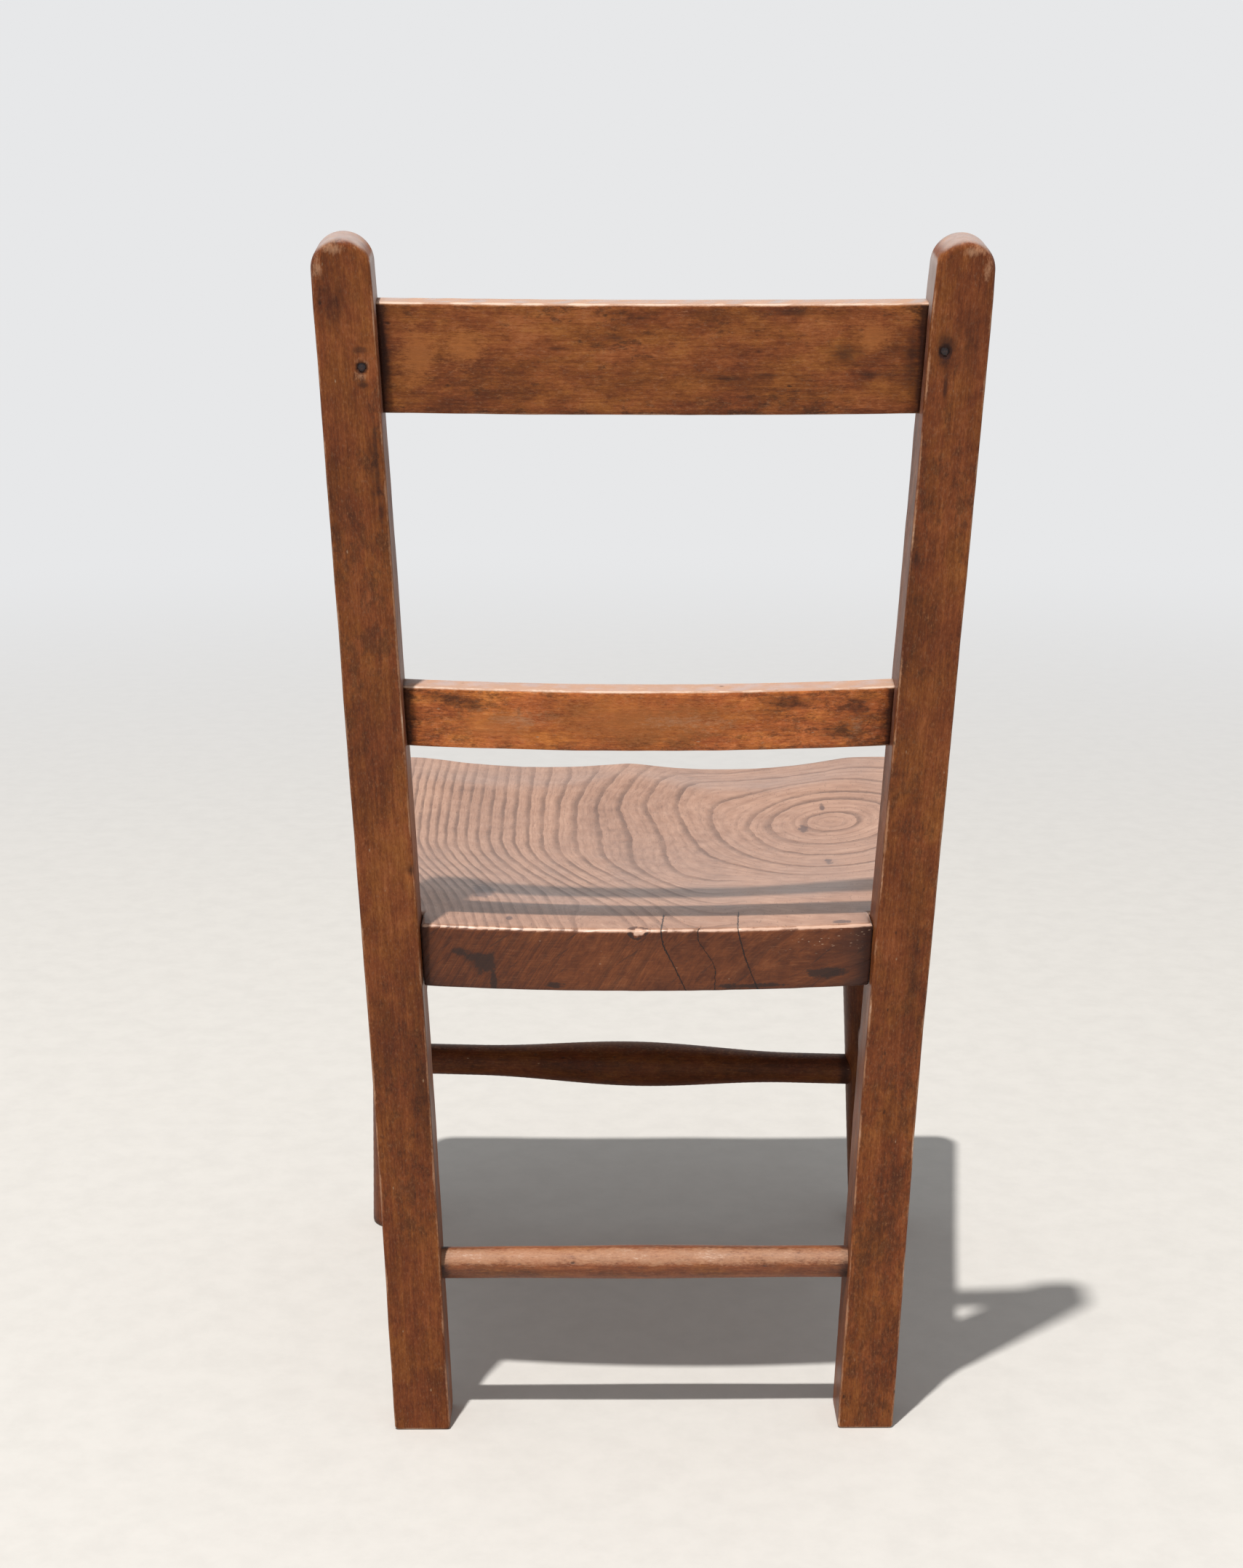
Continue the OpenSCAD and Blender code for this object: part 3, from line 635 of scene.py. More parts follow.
def post_mesh(seed):
    """(x, up, depth and edge of each point, faces) of a post."""
    arris = post_arris(seed)
    cols = POST_COLUMNS
    parts = []

    def add(*columns):
        parts.append(np.stack(np.broadcast_arrays(*columns), -1).reshape(-1, 4))

    def ring(turn, share=None, front=False):
        """A closed loop: up the right side, over the top, down the left side and back along the foot."""
        half, top = post_outline(arris * (1 - math.sin(turn)))
        foot = np.linspace(-half[0, 0], half[0, 0], cols + 1)[1:-1]
        x = np.concatenate([half[:, 0], [0], -half[::-1, 0], foot])
        up = np.concatenate([half[:, 1], [top], half[::-1, 1], np.full(cols - 1, half[0, 1])])
        r = np.concatenate([arris, arris[-2::-1], np.full(cols - 1, arris[0])])
        full = post_depth(up)
        depth = r * (1 - math.cos(turn)) if share is None else r + (full - 2 * r) * share
        add(x, up, full - depth if front else depth, math.sin(2 * turn) if share is None else 0.0)

    for turn in ARRIS_TURNS:
        ring(turn)
    for j in range(1, POST_WALL):
        ring(math.pi / 2, j / POST_WALL)
    for turn in ARRIS_TURNS[::-1]:
        ring(turn, front=True)
    index = np.arange(len(parts) * len(parts[0])).reshape(len(parts), -1)
    faces, total = [ring_faces(index)], index.size
    # the back and front faces: rows from the left outline to the right one
    for loop, (x, up, depth, _) in ((index[0], parts[0].T), (index[-1], parts[-1].T)):
        right = np.arange(POST_HALF)
        left = 2 * POST_HALF - right
        share = np.linspace(0, 1, cols + 1)[1:-1]
        across = x[left][1:, None] * (1 - share) + x[right][1:, None] * share
        add(across, up[right][1:, None], depth[right][1:, None], 0.0)
        inner = total + np.arange(across.size).reshape(across.shape)
        total += across.size
        rows = np.concatenate([loop[left][1:, None], inner, loop[right][1:, None]], 1)
        foot = np.concatenate([[loop[left[0]]], loop[2 * POST_HALF + 1:], [loop[right[0]]]])
        rows = np.concatenate([foot[None], rows], 0)
        top = np.full(cols, loop[POST_HALF])
        faces += [grid_faces(rows), np.stack([rows[-1, :-1], rows[-1, 1:], top], -1)]
    return np.concatenate(parts).T, faces


CAP_SCUFFS = [(2, POST_SHOULDER + 8.5, 9, 3.4), (9.5, POST_SHOULDER + 1, 2.8, 8)]


def back_post(name, stains, smears, dents, halo, rubbed, seed):
    """Marks are (across, outward positive; up; half lengths), and dents (across, up, radius, depth).

    halo lists the dark marks round the nail, and rubbed is how bare the wood round it is.
    """
    side = SIDES[name]
    (x, up, depth, edge), faces = post_mesh(seed)
    wood = np.stack([x, depth, up], -1)
    full_depth = post_depth(up)
    back = smooth(depth, 6, 2)
    inner_wall = smooth(-side * x, 9, 12)
    sink = uneven(wood, 0.12, (0.10, 60), (0.05, 14), seed + 1)
    for dx, du, r, deep in dents:
        sink = sink + deep * back * np.exp(-((x - side * dx) ** 2 + (up - du) ** 2) / r ** 2)
    nail_x, nail_run = nail_place(name)
    hole_x, hole_up = side * (nail_x - post_x(z_at(nail_run))), nail_run + UP_FROM_RUN
    hole = np.hypot(x - hole_x, up - hole_up)
    sink = sink + back * (1.3 * smooth(hole, 2.6, 1.7) + 0.25 * smooth(hole, 7.5, 3.5))
    wear = wear_of(edge, wood, seed + 3) * (1 - 0.75 * smooth(up, POST_SHOULDER - 15, POST_SHOULDER + 4))
    # the cap's top is painted paler: wear, and painted light and sheen where the key and sky fall on it
    on_top = (smooth(up, POST_SHOULDER + 4, POST_SHOULDER + 11) * smooth(depth, 0.8, 2.0)
              * smooth(full_depth - depth, 0.3, 2))
    wear += on_top * (0.30 + 0.2 * waves(wood, 15, seed + 5))
    wear += 0.75 * back * inside(side * x, up, CAP_SCUFFS)
    # painted sheen: the cap's top, the upper inner walls and, more faintly, the inner walls above the seat
    # are made pale as if they reflected the sky
    walled = smooth(-side * x, 12.3, 12.9) * smooth(depth, 1.0, 2.2)
    bleach = 0.72 * on_top + walled * (0.55 * smooth(up, POST_SHOULDER - 26, POST_SHOULDER - 12)
                                       + 0.30 * smooth(up, SEAT_H, SEAT_H + 60))
    wear += 0.30 * smooth(up, 14, 0) * (0.5 + 0.5 * waves(wood, 9, seed + 4))
    bruise = back * inside(x - hole_x, up - hole_up, [(-side * 0.2, 0, 4.8, 7.5)], 1.6)
    wear += rubbed * bruise * smooth(hole, 2.5, 3.3)
    stain = np.where(depth < POST_D / 2, blots(side * x, up, stains), NO_STAIN)
    stain = np.maximum(stain, np.where(back > 0.1, 1.4 * blots(x - hole_x, up - hole_up, halo), NO_STAIN))
    # painted shade: the inner walls a little darker; then dirt low on the edges near the foot, rust round the
    # nail hole, and the smears
    grime = (0.12 * inner_wall + 0.30 * smooth(edge, 0.2, 1) * smooth(up, 60, 20)
             + 0.7 * back * smooth(hole, 3.4, 2.3))
    for smear in smears:
        grime = grime + 0.5 * back * inside(side * x, up, [smear])
    return make_piece(f"back_post_{name}", "stained_beech", POST_WOOD[name],
                      place_post(side, x, up, depth), faces, sink=sink,
                      wood=wood, wear=wear, grime=grime, stain=stain, bleach=bleach)


back_post("left",
          stains=[(-9.6, 512, 1.6, 16), (-9.8, 495, 1.8, 18), (-10.4, 479, 2.3, 8), (-12.5, 303, 2.5, 4)],
          smears=[(-8, 500, 5, 30), (3, 575, 14, 20), (-9, 180, 8, 70)],
          dents=[(-11.5, 302, 3.0, 0.9), (4, 430, 2, 0.25), (-2, 150, 2.5, 0.3), (6, 95, 2, 0.3)],
          halo=[(0, 8.0, 4.6, 2.2), (-0.4, -7.6, 3.6, 2.0), (0, -3.5, 1.6, 2.5)], rubbed=0.60, seed=11)
back_post("right",
          stains=[(-10.5, 458, 2.2, 6), (-9.5, 438, 1.5, 4)],
          smears=[(-5.5, 549, 7, 16), (4, 560, 12, 28), (6, 240, 8, 60)],
          dents=[(-11, 350, 2.0, 0.4), (5, 210, 2.2, 0.3), (-3, 120, 2, 0.3), (8, 300, 2, 0.25)],
          halo=[(0, 1.5, 4.2, 10.5), (-1.5, -16, 1.2, 8)], rubbed=0.0, seed=23)

# ---- back rails ----

RAIL_STEP = 1.5   # spacing of the points along and round a rail
RAIL_BURY = 0.3   # how far the rails' ends run into the posts


def section_loop(t, h, r, spacing, steps=4):
    """A rounded rectangle t thick and h high as a closed loop of (q, height, edge) from its low front."""
    loop = []
    corners = [(t / 2 - r, r, -90), (t / 2 - r, h - r, 0), (-t / 2 + r, h - r, 90), (-t / 2 + r, r, 180)]
    for k, (cq, ch, start) in enumerate(corners):
        for i in range(steps + 1):
            a = math.radians(start + 90 * i / steps)
            loop.append((cq + r * math.cos(a), ch + r * math.sin(a), math.sin(math.pi * i / steps)))
        nq, nh, nstart = corners[(k + 1) % 4]
        a = math.radians(nstart)
        here, there = np.array(loop[-1][:2]), np.array([nq + r * math.cos(a), nh + r * math.sin(a)])
        pieces = max(1, round(np.linalg.norm(there - here) / spacing))
        for i in range(1, pieces):
            p = here + (there - here) * i / pieces
            loop.append((p[0], p[1], 0.0))
    return np.array(loop)


def back_rail(name, material, run, h, bow, arris, stains, bare, warm, seed):
    """Marks are (right of the middle, height; half lengths): stains, bare wood and warmer wood."""
    span = post_inner_x(z_at(run + h / 2))
    back_r = (span ** 2 + bow ** 2) / (2 * bow)
    loop = section_loop(RAIL_T, h, arris, RAIL_STEP)
    steps = int(2 * span / RAIL_STEP)
    share = np.linspace(-1, 1, steps + 1)[:, None]
    q, high, edge = (np.repeat(loop[None, :, k], steps + 1, 0) for k in range(3))
    x = share * np.ones_like(q) * span
    for _ in range(2):   # the ends follow the posts' leaning inner faces
        y = bow - RAIL_SETBACK - back_r + np.sqrt((back_r - RAIL_T / 2 + q) ** 2 - x ** 2)
        x = share * (post_inner_x(raked(x, y, run + high)[..., 2]) + RAIL_BURY)
    points = raked(x, y, run + high).reshape(-1, 3)
    wood = np.stack([q, high, x], -1).reshape(-1, 3)
    q, high, x, edge = q.ravel(), high.ravel(), x.ravel(), edge.ravel()
    index = np.arange(len(q)).reshape(steps + 1, -1)
    upper, lower = smooth(high, h - 4, h - 1), smooth(high, 4, 1)
    on_top = smooth(high, h - 1.2, h - 0.2)
    back = smooth(q, RAIL_T / 2 - 3, RAIL_T / 2 - 0.5)
    wear = wear_of(edge, wood, seed + 2) * (0.5 + 0.6 * upper + 0.1 * lower)
    # the top face is painted paler: wear, and painted light and sheen where the key and sky fall on it
    wear += 0.75 * on_top * (0.8 + 0.4 * waves(wood, 12, seed + 3))
    wear += back * 0.5 * inside(-x, high, bare)
    # darker beside the posts, as a dark joint and a painted shadow cast by the posts on the rail's ends, and
    # along the lower arris
    away = np.minimum(span - x, span + x)
    grime = 1.1 * np.exp(-away / 2.6) + 0.30 * lower * edge + 0.16 * np.exp(-away / 12)
    stain = np.where(q > 0, blots(-x, high, stains), NO_STAIN)
    sink = uneven(wood, 0.10, (0.08, 45), (0.05, 11), seed)
    return make_piece(name, "stained_beech", material, points, [ring_faces(index)],
                      caps=[index[0], index[-1]], sink=sink, wood=wood, wear=wear, grime=grime,
                      stain=stain, bleach=0.85 * on_top, warm=inside(-x, high, warm))


back_rail("top_rail", TOP_RAIL_WOOD, TOP_RAIL_RUN, TOP_RAIL_H, TOP_RAIL_BOW, 1.7,
          stains=[(-5, 44, 6, 1.4), (-16, 35, 7, 2.4), (-42, 30, 9, 1.3), (33, 17, 9, 1.8), (50, 18, 8, 1.8),
                  (47, 29, 3, 1.4), (54, 9, 2.4, 2), (61, 46, 14, 2.2), (86, 28, 11, 4.5), (97, 18, 6, 2.4),
                  (115, 26, 4, 18), (-119, 24, 4, 22)],
          bare=[(-30, 48, 6, 5), (14, 46, 6, 3)],
          warm=[(-104, 26, 13, 20), (-84, 30, 14, 12), (98, 36, 14, 9)], seed=31)
back_rail("mid_rail", MID_RAIL_WOOD, MID_RAIL_RUN, MID_RAIL_H, MID_RAIL_BOW, 1.6,
          stains=[(-96, 25, 14, 3), (-84, 22, 10, 3), (-44, 18, 8, 1.6), (-36, 4, 8, 1.2), (66, 23, 16, 4),
                  (98, 20, 9, 8), (88, 8, 14, 5)],
          bare=[(-60, 15, 40, 10), (20, 14, 60, 8), (97, 12, 7, 11)],
          warm=[(-5, 15, 75, 17), (-70, 12, 30, 12)], seed=41)

# ---- seat ----

SEAT_EDGE = 2.3       # radius of the seat's top edge
SEAT_FOOT_EDGE = 1.3  # radius of its bottom edge
TONGUE_COLUMNS = 210  # across the part between the posts
TONGUE_ROWS = 20
WING_COLUMNS = 12     # on each side of it
WALL_ROWS = 22
CORNER_STEPS = 9
CORNER_X = seat_half_w(SEAT_CORNER_R - SEAT_RUN) - SEAT_CORNER_R / math.cos(FLARE_ANGLE)
CORNER_Y = SEAT_CORNER_R - SEAT_RUN
BACK_R = (post_inner_x(SEAT_H) ** 2 + SEAT_BACK_BOW ** 2) / (2 * SEAT_BACK_BOW)
SEAT_ROW, SIDE_BACK = 1.7, -17   # spacing of the rows, and about where the sides end at the posts
SIDE_STEPS = int((SIDE_BACK - CORNER_Y) / SEAT_ROW)
MAIN_ROWS = CORNER_STEPS + 1 + SIDE_STEPS


def seat_place(x, y, z):
    """Chair position of a point in the seat's own frame."""
    return np.stack(np.broadcast_arrays(
        x, SEAT_Y + y * math.cos(SEAT_PITCH) + z * math.sin(SEAT_PITCH),
        SEAT_H - y * math.sin(SEAT_PITCH) + z * math.cos(SEAT_PITCH)), -1)


def notch_line(z):
    """(y of the notch's front, x of the tongue's side) at a depth z in the seat's frame."""
    world = SEAT_H + z
    front = float(back_face_y(world)) - float(post_depth(run_at(world) + UP_FROM_RUN)) / math.cos(RAKE)
    y = (front - SEAT_FIT - SEAT_Y) - z * math.sin(SEAT_PITCH)
    return y, post_inner_x(world) - SEAT_FIT


def back_line(x):
    """y of the seat's bowed back edge."""
    return SEAT_BACK_BOW - BACK_R + np.sqrt(np.maximum(BACK_R ** 2 - x ** 2, 0))


def seat_grid(inset, z):
    """The seat's plan at a depth z, moved inward by inset: rows of (x, y) from front to back.

    The last rows, between the posts, leave out the wing columns.
    """
    notch_y, inner = notch_line(z)
    notch_y, inner = notch_y - inset, inner - inset
    turn = np.linspace(-math.pi / 2, FLARE_ANGLE, CORNER_STEPS + 1)
    corner_y = CORNER_Y + (SEAT_CORNER_R - inset) * np.sin(turn)
    corner_w = CORNER_X + (SEAT_CORNER_R - inset) * np.cos(turn)
    side_y = np.linspace(corner_y[-1], notch_y, SIDE_STEPS + 1)[1:]
    side_w = seat_half_w(side_y) - inset / math.cos(FLARE_ANGLE)
    row_y, row_w = np.append(corner_y, side_y), np.append(corner_w, side_w)
    tongue = np.linspace(-inner, inner, TONGUE_COLUMNS + 1)
    # the tongue columns keep their places all the way to the front, and the wings share what is left
    wing = np.linspace(0, 1, WING_COLUMNS + 1)[1:]
    right = inner + (row_w[:, None] - inner) * wing
    main_x = np.concatenate([-right[:, ::-1], np.repeat(tongue[None], MAIN_ROWS, 0), right], 1)
    main_y = np.repeat(row_y[:, None], main_x.shape[1], 1)
    share = np.linspace(0, 1, TONGUE_ROWS + 1)[1:, None]
    tail_y = notch_y + (back_line(tongue)[None] - inset - notch_y) * share
    tail_x = np.repeat(tongue[None], TONGUE_ROWS, 0)
    return np.concatenate([np.stack([main_x, main_y], -1).reshape(-1, 2),
                           np.stack([tail_x, tail_y], -1).reshape(-1, 2)])


def seat_top(x, y):
    """Height of the hollowed seat at a point of its frame, with the hollows' rims worn soft."""
    soft = 0.8
    total = np.ones_like(x)
    for side in SIDES.values():
        thigh_depth = THIGH_DEPTH - THIGH_SHALLOWER[side]
        for cx, cy, rim, deep in (
                (side * DISH_OFFSET, SEAT_BACK_BOW - DISH_BACK - DISH_RIM_R, DISH_RIM_R, DISH_DEPTH),
                (side * THIGH_OFFSET, THIGH_INSET - SEAT_RUN, THIGH_RIM_R, thigh_depth)):
            r = (rim ** 2 + deep ** 2) / (2 * deep)
            low = r - deep - np.sqrt(np.maximum(r ** 2 - (x - cx) ** 2 - (y - cy) ** 2, 1))
            total += np.exp(np.clip(-low / soft, -40, 40))
    return -soft * np.log(total)


KNOT_X, KNOT_Y = 107, -203   # middle of the rings' ovals


def hinge(x):
    """0 below zero and x above it, with a soft bend between."""
    return 10 * np.logaddexp(0, x / 10)


def ring_count(right, y, z=0.0):
    """How many rings lie between the ovals' middle and a point.

    The rings are ovals round the knots, then lines that run from front to back and sweep over at the back.
    """
    p = np.stack([right, y], -1)
    right = right - z * (0.6 + 1.6 * smooth(right, 0, 90)) + 1.2 * waves(p, 95, 5) + 0.3 * waves(p, 34, 6)
    u, v = KNOT_X - right, y - KNOT_Y
    near = np.hypot(u, v / 1.45)
    off = v - 15 + 38 * smooth(near, 45, 90) * smooth(v, -110, -40)
    oval = np.hypot(u, off / np.where(off > 0, 1.1 + 0.45 * smooth(near, 35, 65), 1.05))
    line = u
    for _ in range(4):
        drift = 12 * smooth(line, 150, 100) * smooth(v, -35, 40)
        sweep = (0.48 - 0.15 * smooth(line, 175, 205)) * hinge(v - 60 - 35 * smooth(line, 140, 105))
        lean = 0.34 * smooth(line, 175, 130) * hinge(-30 - v)
        line = u + drift + sweep - 0.15 * hinge(v - 150) + lean
    d = oval + (line - oval) * smooth(u, 50, 100)
    return d / 20 + 0.0006 * np.maximum(d - 100, 0) ** 2 - 0.25 - 0.45 * smooth(d, 44, 34)


def crack_line(right, y, z, path, top_end):
    """Signed distance across from a crack in the back edge.

    It runs down along path, (depth, place across), and on top it ends at y = top_end.
    """
    depths, places = zip(*path)
    where = np.interp(-z, depths, places)
    lead = np.interp(np.clip(-y, 0, -top_end), [0, -top_end], [0, 2.0])
    beyond = np.clip(top_end - y, 0, None) * 2 + np.clip(-24 - y, 0, None)
    off = right - where - lead * np.where(z > -2.5, 1, 0)
    return off + np.where(off < 0, -1, 1) * beyond


CRACKS = [([(0, 6.5), (8, 7.5), (17, 12), (32, 19)], -22), ([(0, 43.5), (10, 46), (18, 48.5), (32, 54)], -27),
          ([(0, 24), (6, 24.5), (16, 31), (20, 33)], -4)]
SEAT_TOP_STAINS = [(-82, -56, 6.5, 15), (104, -213, 2.0, 6.5), (91, -180, 4.0, 6.5), (99, -117, 2.8, 7.0),
                   (-67, -9, 2.2, 4.0), (94, -3, 5, 3.0)]
SEAT_BACK_STAINS = [(-90, -13.5, 6, 3.2), (-85, -15.5, 7, 4), (-79, -17.5, 9, 6.2), (-74.5, -27, 1.8, 6.5),
                    (88, -24, 12, 3), (54, -29.5, 22, 1.6), (-45, -29, 9, 2.0)]
CHIP, CHIP_SIZE = (-4.6, -1.2, -1.6), (4.2, 3.2, 3.2)   # (right, from the back edge, up) and its half lengths


def seat_mesh():
    """(x, y, z, edge and wall of each point in the seat's frame, faces) of the seat."""
    wide = TONGUE_COLUMNS + 1 + 2 * WING_COLUMNS
    main = np.arange(MAIN_ROWS * wide).reshape(MAIN_ROWS, wide)
    tail = MAIN_ROWS * wide + np.arange(TONGUE_ROWS * (TONGUE_COLUMNS + 1)).reshape(TONGUE_ROWS, -1)
    tail = np.concatenate([main[-1:, WING_COLUMNS:-WING_COLUMNS], tail], 0)
    border = np.concatenate([main[0, :-1], main[:-1, -1], main[-1, :-WING_COLUMNS - 1:-1], tail[:-1, -1],
                             tail[-1, :0:-1], tail[:0:-1, 0], main[-1, WING_COLUMNS:0:-1], main[:0:-1, 0]])
    parts = []

    def add(xy, z, edge=0.0, wall=0.0):
        """Adds points and returns their numbers."""
        first = sum(len(part) for part in parts)
        parts.append(np.stack(np.broadcast_arrays(*xy.T, z, edge, wall), -1))
        return first + np.arange(len(xy))

    plan = seat_grid(SEAT_EDGE, 0)
    loops = [add(plan, seat_top(*plan.T))[border]]
    for turn in ARRIS_TURNS[1:]:
        down = SEAT_EDGE * (1 - math.cos(turn))
        xy = seat_grid(SEAT_EDGE * (1 - math.sin(turn)), 0)[border]
        loops.append(add(xy, seat_top(*xy.T) - down, math.sin(2 * turn) if turn < 1.5 else 0,
                         min(1.0, down / SEAT_EDGE * 1.2)))
    rim_z = seat_top(*seat_grid(0, 0)[border].T)
    for j in range(1, WALL_ROWS):
        share = j / WALL_ROWS
        xy = seat_grid(0, -SEAT_EDGE - (SEAT_T - SEAT_EDGE - SEAT_FOOT_EDGE) * share)[border]
        loops.append(add(xy, (rim_z - SEAT_EDGE) * (1 - share) + (SEAT_FOOT_EDGE - SEAT_T) * share, 0, 1))
    for turn in ARRIS_TURNS[:0:-1]:
        xy = seat_grid(SEAT_FOOT_EDGE * (1 - math.sin(turn)), -SEAT_T)[border]
        loops.append(add(xy, SEAT_FOOT_EDGE * (1 - math.cos(turn)) - SEAT_T, 0.5 * math.sin(2 * turn), 1))
    bottom = add(seat_grid(SEAT_FOOT_EDGE, -SEAT_T), -SEAT_T)
    loops.append(bottom[border])
    return np.concatenate(parts).T, [grid_faces(main), grid_faces(tail), ring_faces(np.array(loops)),
                                     grid_faces(bottom[main]), grid_faces(bottom[tail])]


def build_seat():
    (x, y, z, edge, wall), faces = seat_mesh()
    right, back_y = -x, back_line(x)
    behind = y - back_y
    wood = np.stack([right, y, z], -1)
    ring = ring_count(right, y, z * wall)
    step = 0.5
    slope = np.hypot(ring_count(right + step, y, z * wall) - ring,
                     ring_count(right, y + step, z * wall) - ring) / step
    gap = 1 / np.maximum(slope, 0.03)
    at_back, at_front = smooth(y, back_y - 5, back_y - 1.5), smooth(y, 5 - SEAT_RUN, 1.5 - SEAT_RUN)
    end_grain = wall * np.maximum(np.maximum(at_back, at_front), 0.6)
    cracks = np.stack([crack_line(right, behind, z, path, end) for path, end in CRACKS], -1)
    near_back = smooth(y, back_y - 26, back_y - 10)
    grooves = np.exp(-(cracks / 0.55) ** 2).sum(-1)
    chip = np.sqrt(sum(((at - middle) / half) ** 2
                       for at, middle, half in zip((right, behind, z), CHIP, CHIP_SIZE)))
    sink = uneven(wood, 0.10, (0.10, 70), (0.05, 13), 51)
    sink = sink + 0.55 * near_back * grooves * (z > -SEAT_T + 0.5)
    sink = sink + 1.0 * smooth(chip, 1.15, 0.5) + 0.4 * edge * np.clip(waves(wood, 17, 53), 0, 1)
    rear_edge = smooth(y, back_y - 6, back_y - 2)
    # the back edge's arris is painted pale: worn, and a painted highlight along it
    worn_arris_and_highlight = edge ** 3 * (z > -SEAT_EDGE)
    wear = worn_arris_and_highlight * (0.5 + 0.3 * waves(wood, 26, 54))
    wear += worn_arris_and_highlight * rear_edge * (0.45 + 0.35 * waves(wood, 9, 55) + 0.3 * waves(wood, 3.5, 56))
    wear += (0.75 + 0.5 * waves(wood, 2.6, 57)) * smooth(chip, 0.92, 0.6)
    wear += 0.12 * smooth(y, back_y - 34, back_y - 20) * (1 - wall) * (z > -2)
    stain = np.where(wall * at_back > 0.6, blots(right, z, SEAT_BACK_STAINS),
                     np.where(z > -SEAT_T + 3, blots(right, y, SEAT_TOP_STAINS), NO_STAIN))
    stain = np.maximum(stain, 1.1 - 4.0 * np.abs(chip - 1.0) + 0.5 * waves(wood, 1.9, 58))
    to_post = np.hypot(np.abs(x) - post_inner_x(SEAT_H), np.minimum(behind + 3, 0) * 0.3)
    corner = np.exp(-to_post / 4.5) * smooth(y, -30, -12)
    ends = wall * at_back * np.maximum(smooth(right, 78, 112), 0.5 * smooth(right, -88, -112))
    # darker round the posts, at the ends of the back edge, low on the edges and over the underside: dirt, and
    # painted shade under the seat and beside the posts
    grime = (0.8 * corner + 0.42 * ends + 0.25 * smooth(z, -SEAT_T + 6, -SEAT_T + 1) * wall
             + 0.4 * (z <= -SEAT_T + 0.01))
    faint = np.maximum(smooth(right, 22, 60) * smooth(y, -105, -78),
                       np.maximum(0.35 * smooth(y, -60, -20), 0.45 * smooth(y, -250, -300))) * (1 - end_grain)
    return make_piece("seat", "elm_seat", SEAT_WOOD, seat_place(x, y, z), faces, sink=sink, wood=wood,
                      ring=ring, gap=gap, end_grain=end_grain, cracks=cracks, wear=wear, stain=stain,
                      grime=grime, faint=faint)


build_seat()

# ---- turned legs and stretchers ----

BEVEL = 1.2      # radius of a turning's rounded ends
LEG_BURY = 1.5   # how far a leg runs into the seat


def turned(start, end, radii, segments=48):
    """(points, their places in the wood, loops, outward directions) of a turning between two ends.

    radii is a list of (distance from start, radius).
    """
    axis = (end - start) / np.linalg.norm(end - start)
    side = np.cross(axis, [0, 1, 0] if abs(axis[1]) < 0.8 else [0, 0, 1])
    side /= np.linalg.norm(side)
    other = np.cross(axis, side)
    s, r = (np.array(v)[:, None] for v in zip(*radii))
    a = np.linspace(0, 2 * math.pi, segments, endpoint=False)[None]
    wood = np.stack([r * np.cos(a), r * np.sin(a), s + 0 * a], -1)
    points = start + wood[..., :1] * side + wood[..., 1:2] * other + wood[..., 2:] * axis
    outward = np.repeat(np.cos(a).T * side + np.sin(a).T * other, s.size, 0).reshape(segments, s.size, 3)
    index = np.arange(s.size * segments).reshape(s.size, segments)
    return points.reshape(-1, 3), wood.reshape(-1, 3), index, outward.transpose(1, 0, 2).reshape(-1, 3)


def eased_end(radius, steps=4):
    """The rounded end of a turning at its start: (distance, radius) pairs from its flat to its side."""
    turns = [math.pi / 2 * (1 - i / steps) for i in range(steps + 1)]
    return [(BEVEL * (1 - math.sin(a)), radius - BEVEL * (1 - math.cos(a))) for a in turns]


def turning_piece(name, material, start, end, radius_at, seed, spacing=2.0, grime_at=(), worn=0.0,
                  wear_and_highlight_side=(0, 0, 1), flat_foot=False):
    """A turned piece with slightly flattened rounds, tool marks and knocks.

    grime_at lists where it enters its neighbours, and worn is how pale it is towards a given side: wear on
    top, and on the rear stretcher a painted highlight turned towards the camera and the key.
    """
    length = np.linalg.norm(end - start)
    first = eased_end(radius_at(0.0))
    middle = [(s, radius_at(s)) for s in np.linspace(BEVEL, length - BEVEL, int(length / spacing))[1:-1]]
    last = [(length - s, r) for s, r in eased_end(radius_at(length))[::-1]]
    points, wood, index, outward = turned(start, end, first + middle + last)
    s = wood[:, 2]
    tool_marks = np.sin(s * 2.1 + waves(wood, 30, seed + 1))
    sink = 0.10 + 0.12 * waves(wood * [1, 1, 0.4], 24, seed) + 0.04 * tool_marks
    nearest = np.min([np.abs(s - g) for g in grime_at], axis=0)
    # pale towards one side: wear, and on the rear stretcher a painted highlight
    wear = worn * smooth(outward @ wear_and_highlight_side, 0.62, 1.0) * (0.88 + 0.14 * waves(wood, 30, seed + 2))
    if flat_foot:
        wear += 0.5 * smooth(points[:, 2], 5, 0)
    return make_piece(name, "stained_beech", material, points, [ring_faces(index)],
                      caps=[index[0], index[-1]], sink=sink, wood=wood, wear=wear,
                      grime=0.7 * smooth(nearest, 7, 0), stain=np.full(len(s), NO_STAIN))


def through(stations):
    """A smooth radius curve through (distance, diameter) stations."""
    at, d = (np.array(v, float) for v in zip(*stations))

    def slope(k):
        low, high = max(k - 1, 0), min(k + 1, len(d) - 1)
        return (d[high] - d[low]) / (at[high] - at[low])

    def radius(s):
        k = int(np.clip(np.searchsorted(at, s) - 1, 0, len(at) - 2))
        span = at[k + 1] - at[k]
        u = np.clip((s - at[k]) / span, 0, 1)
        value = ((2 * u ** 3 - 3 * u ** 2 + 1) * d[k] + (u ** 3 - 2 * u ** 2 + u) * span * slope(k)
                 + (3 * u ** 2 - 2 * u ** 3) * d[k + 1] + (u ** 3 - u ** 2) * span * slope(k + 1))
        return min(float(value), d.max()) / 2

    return radius


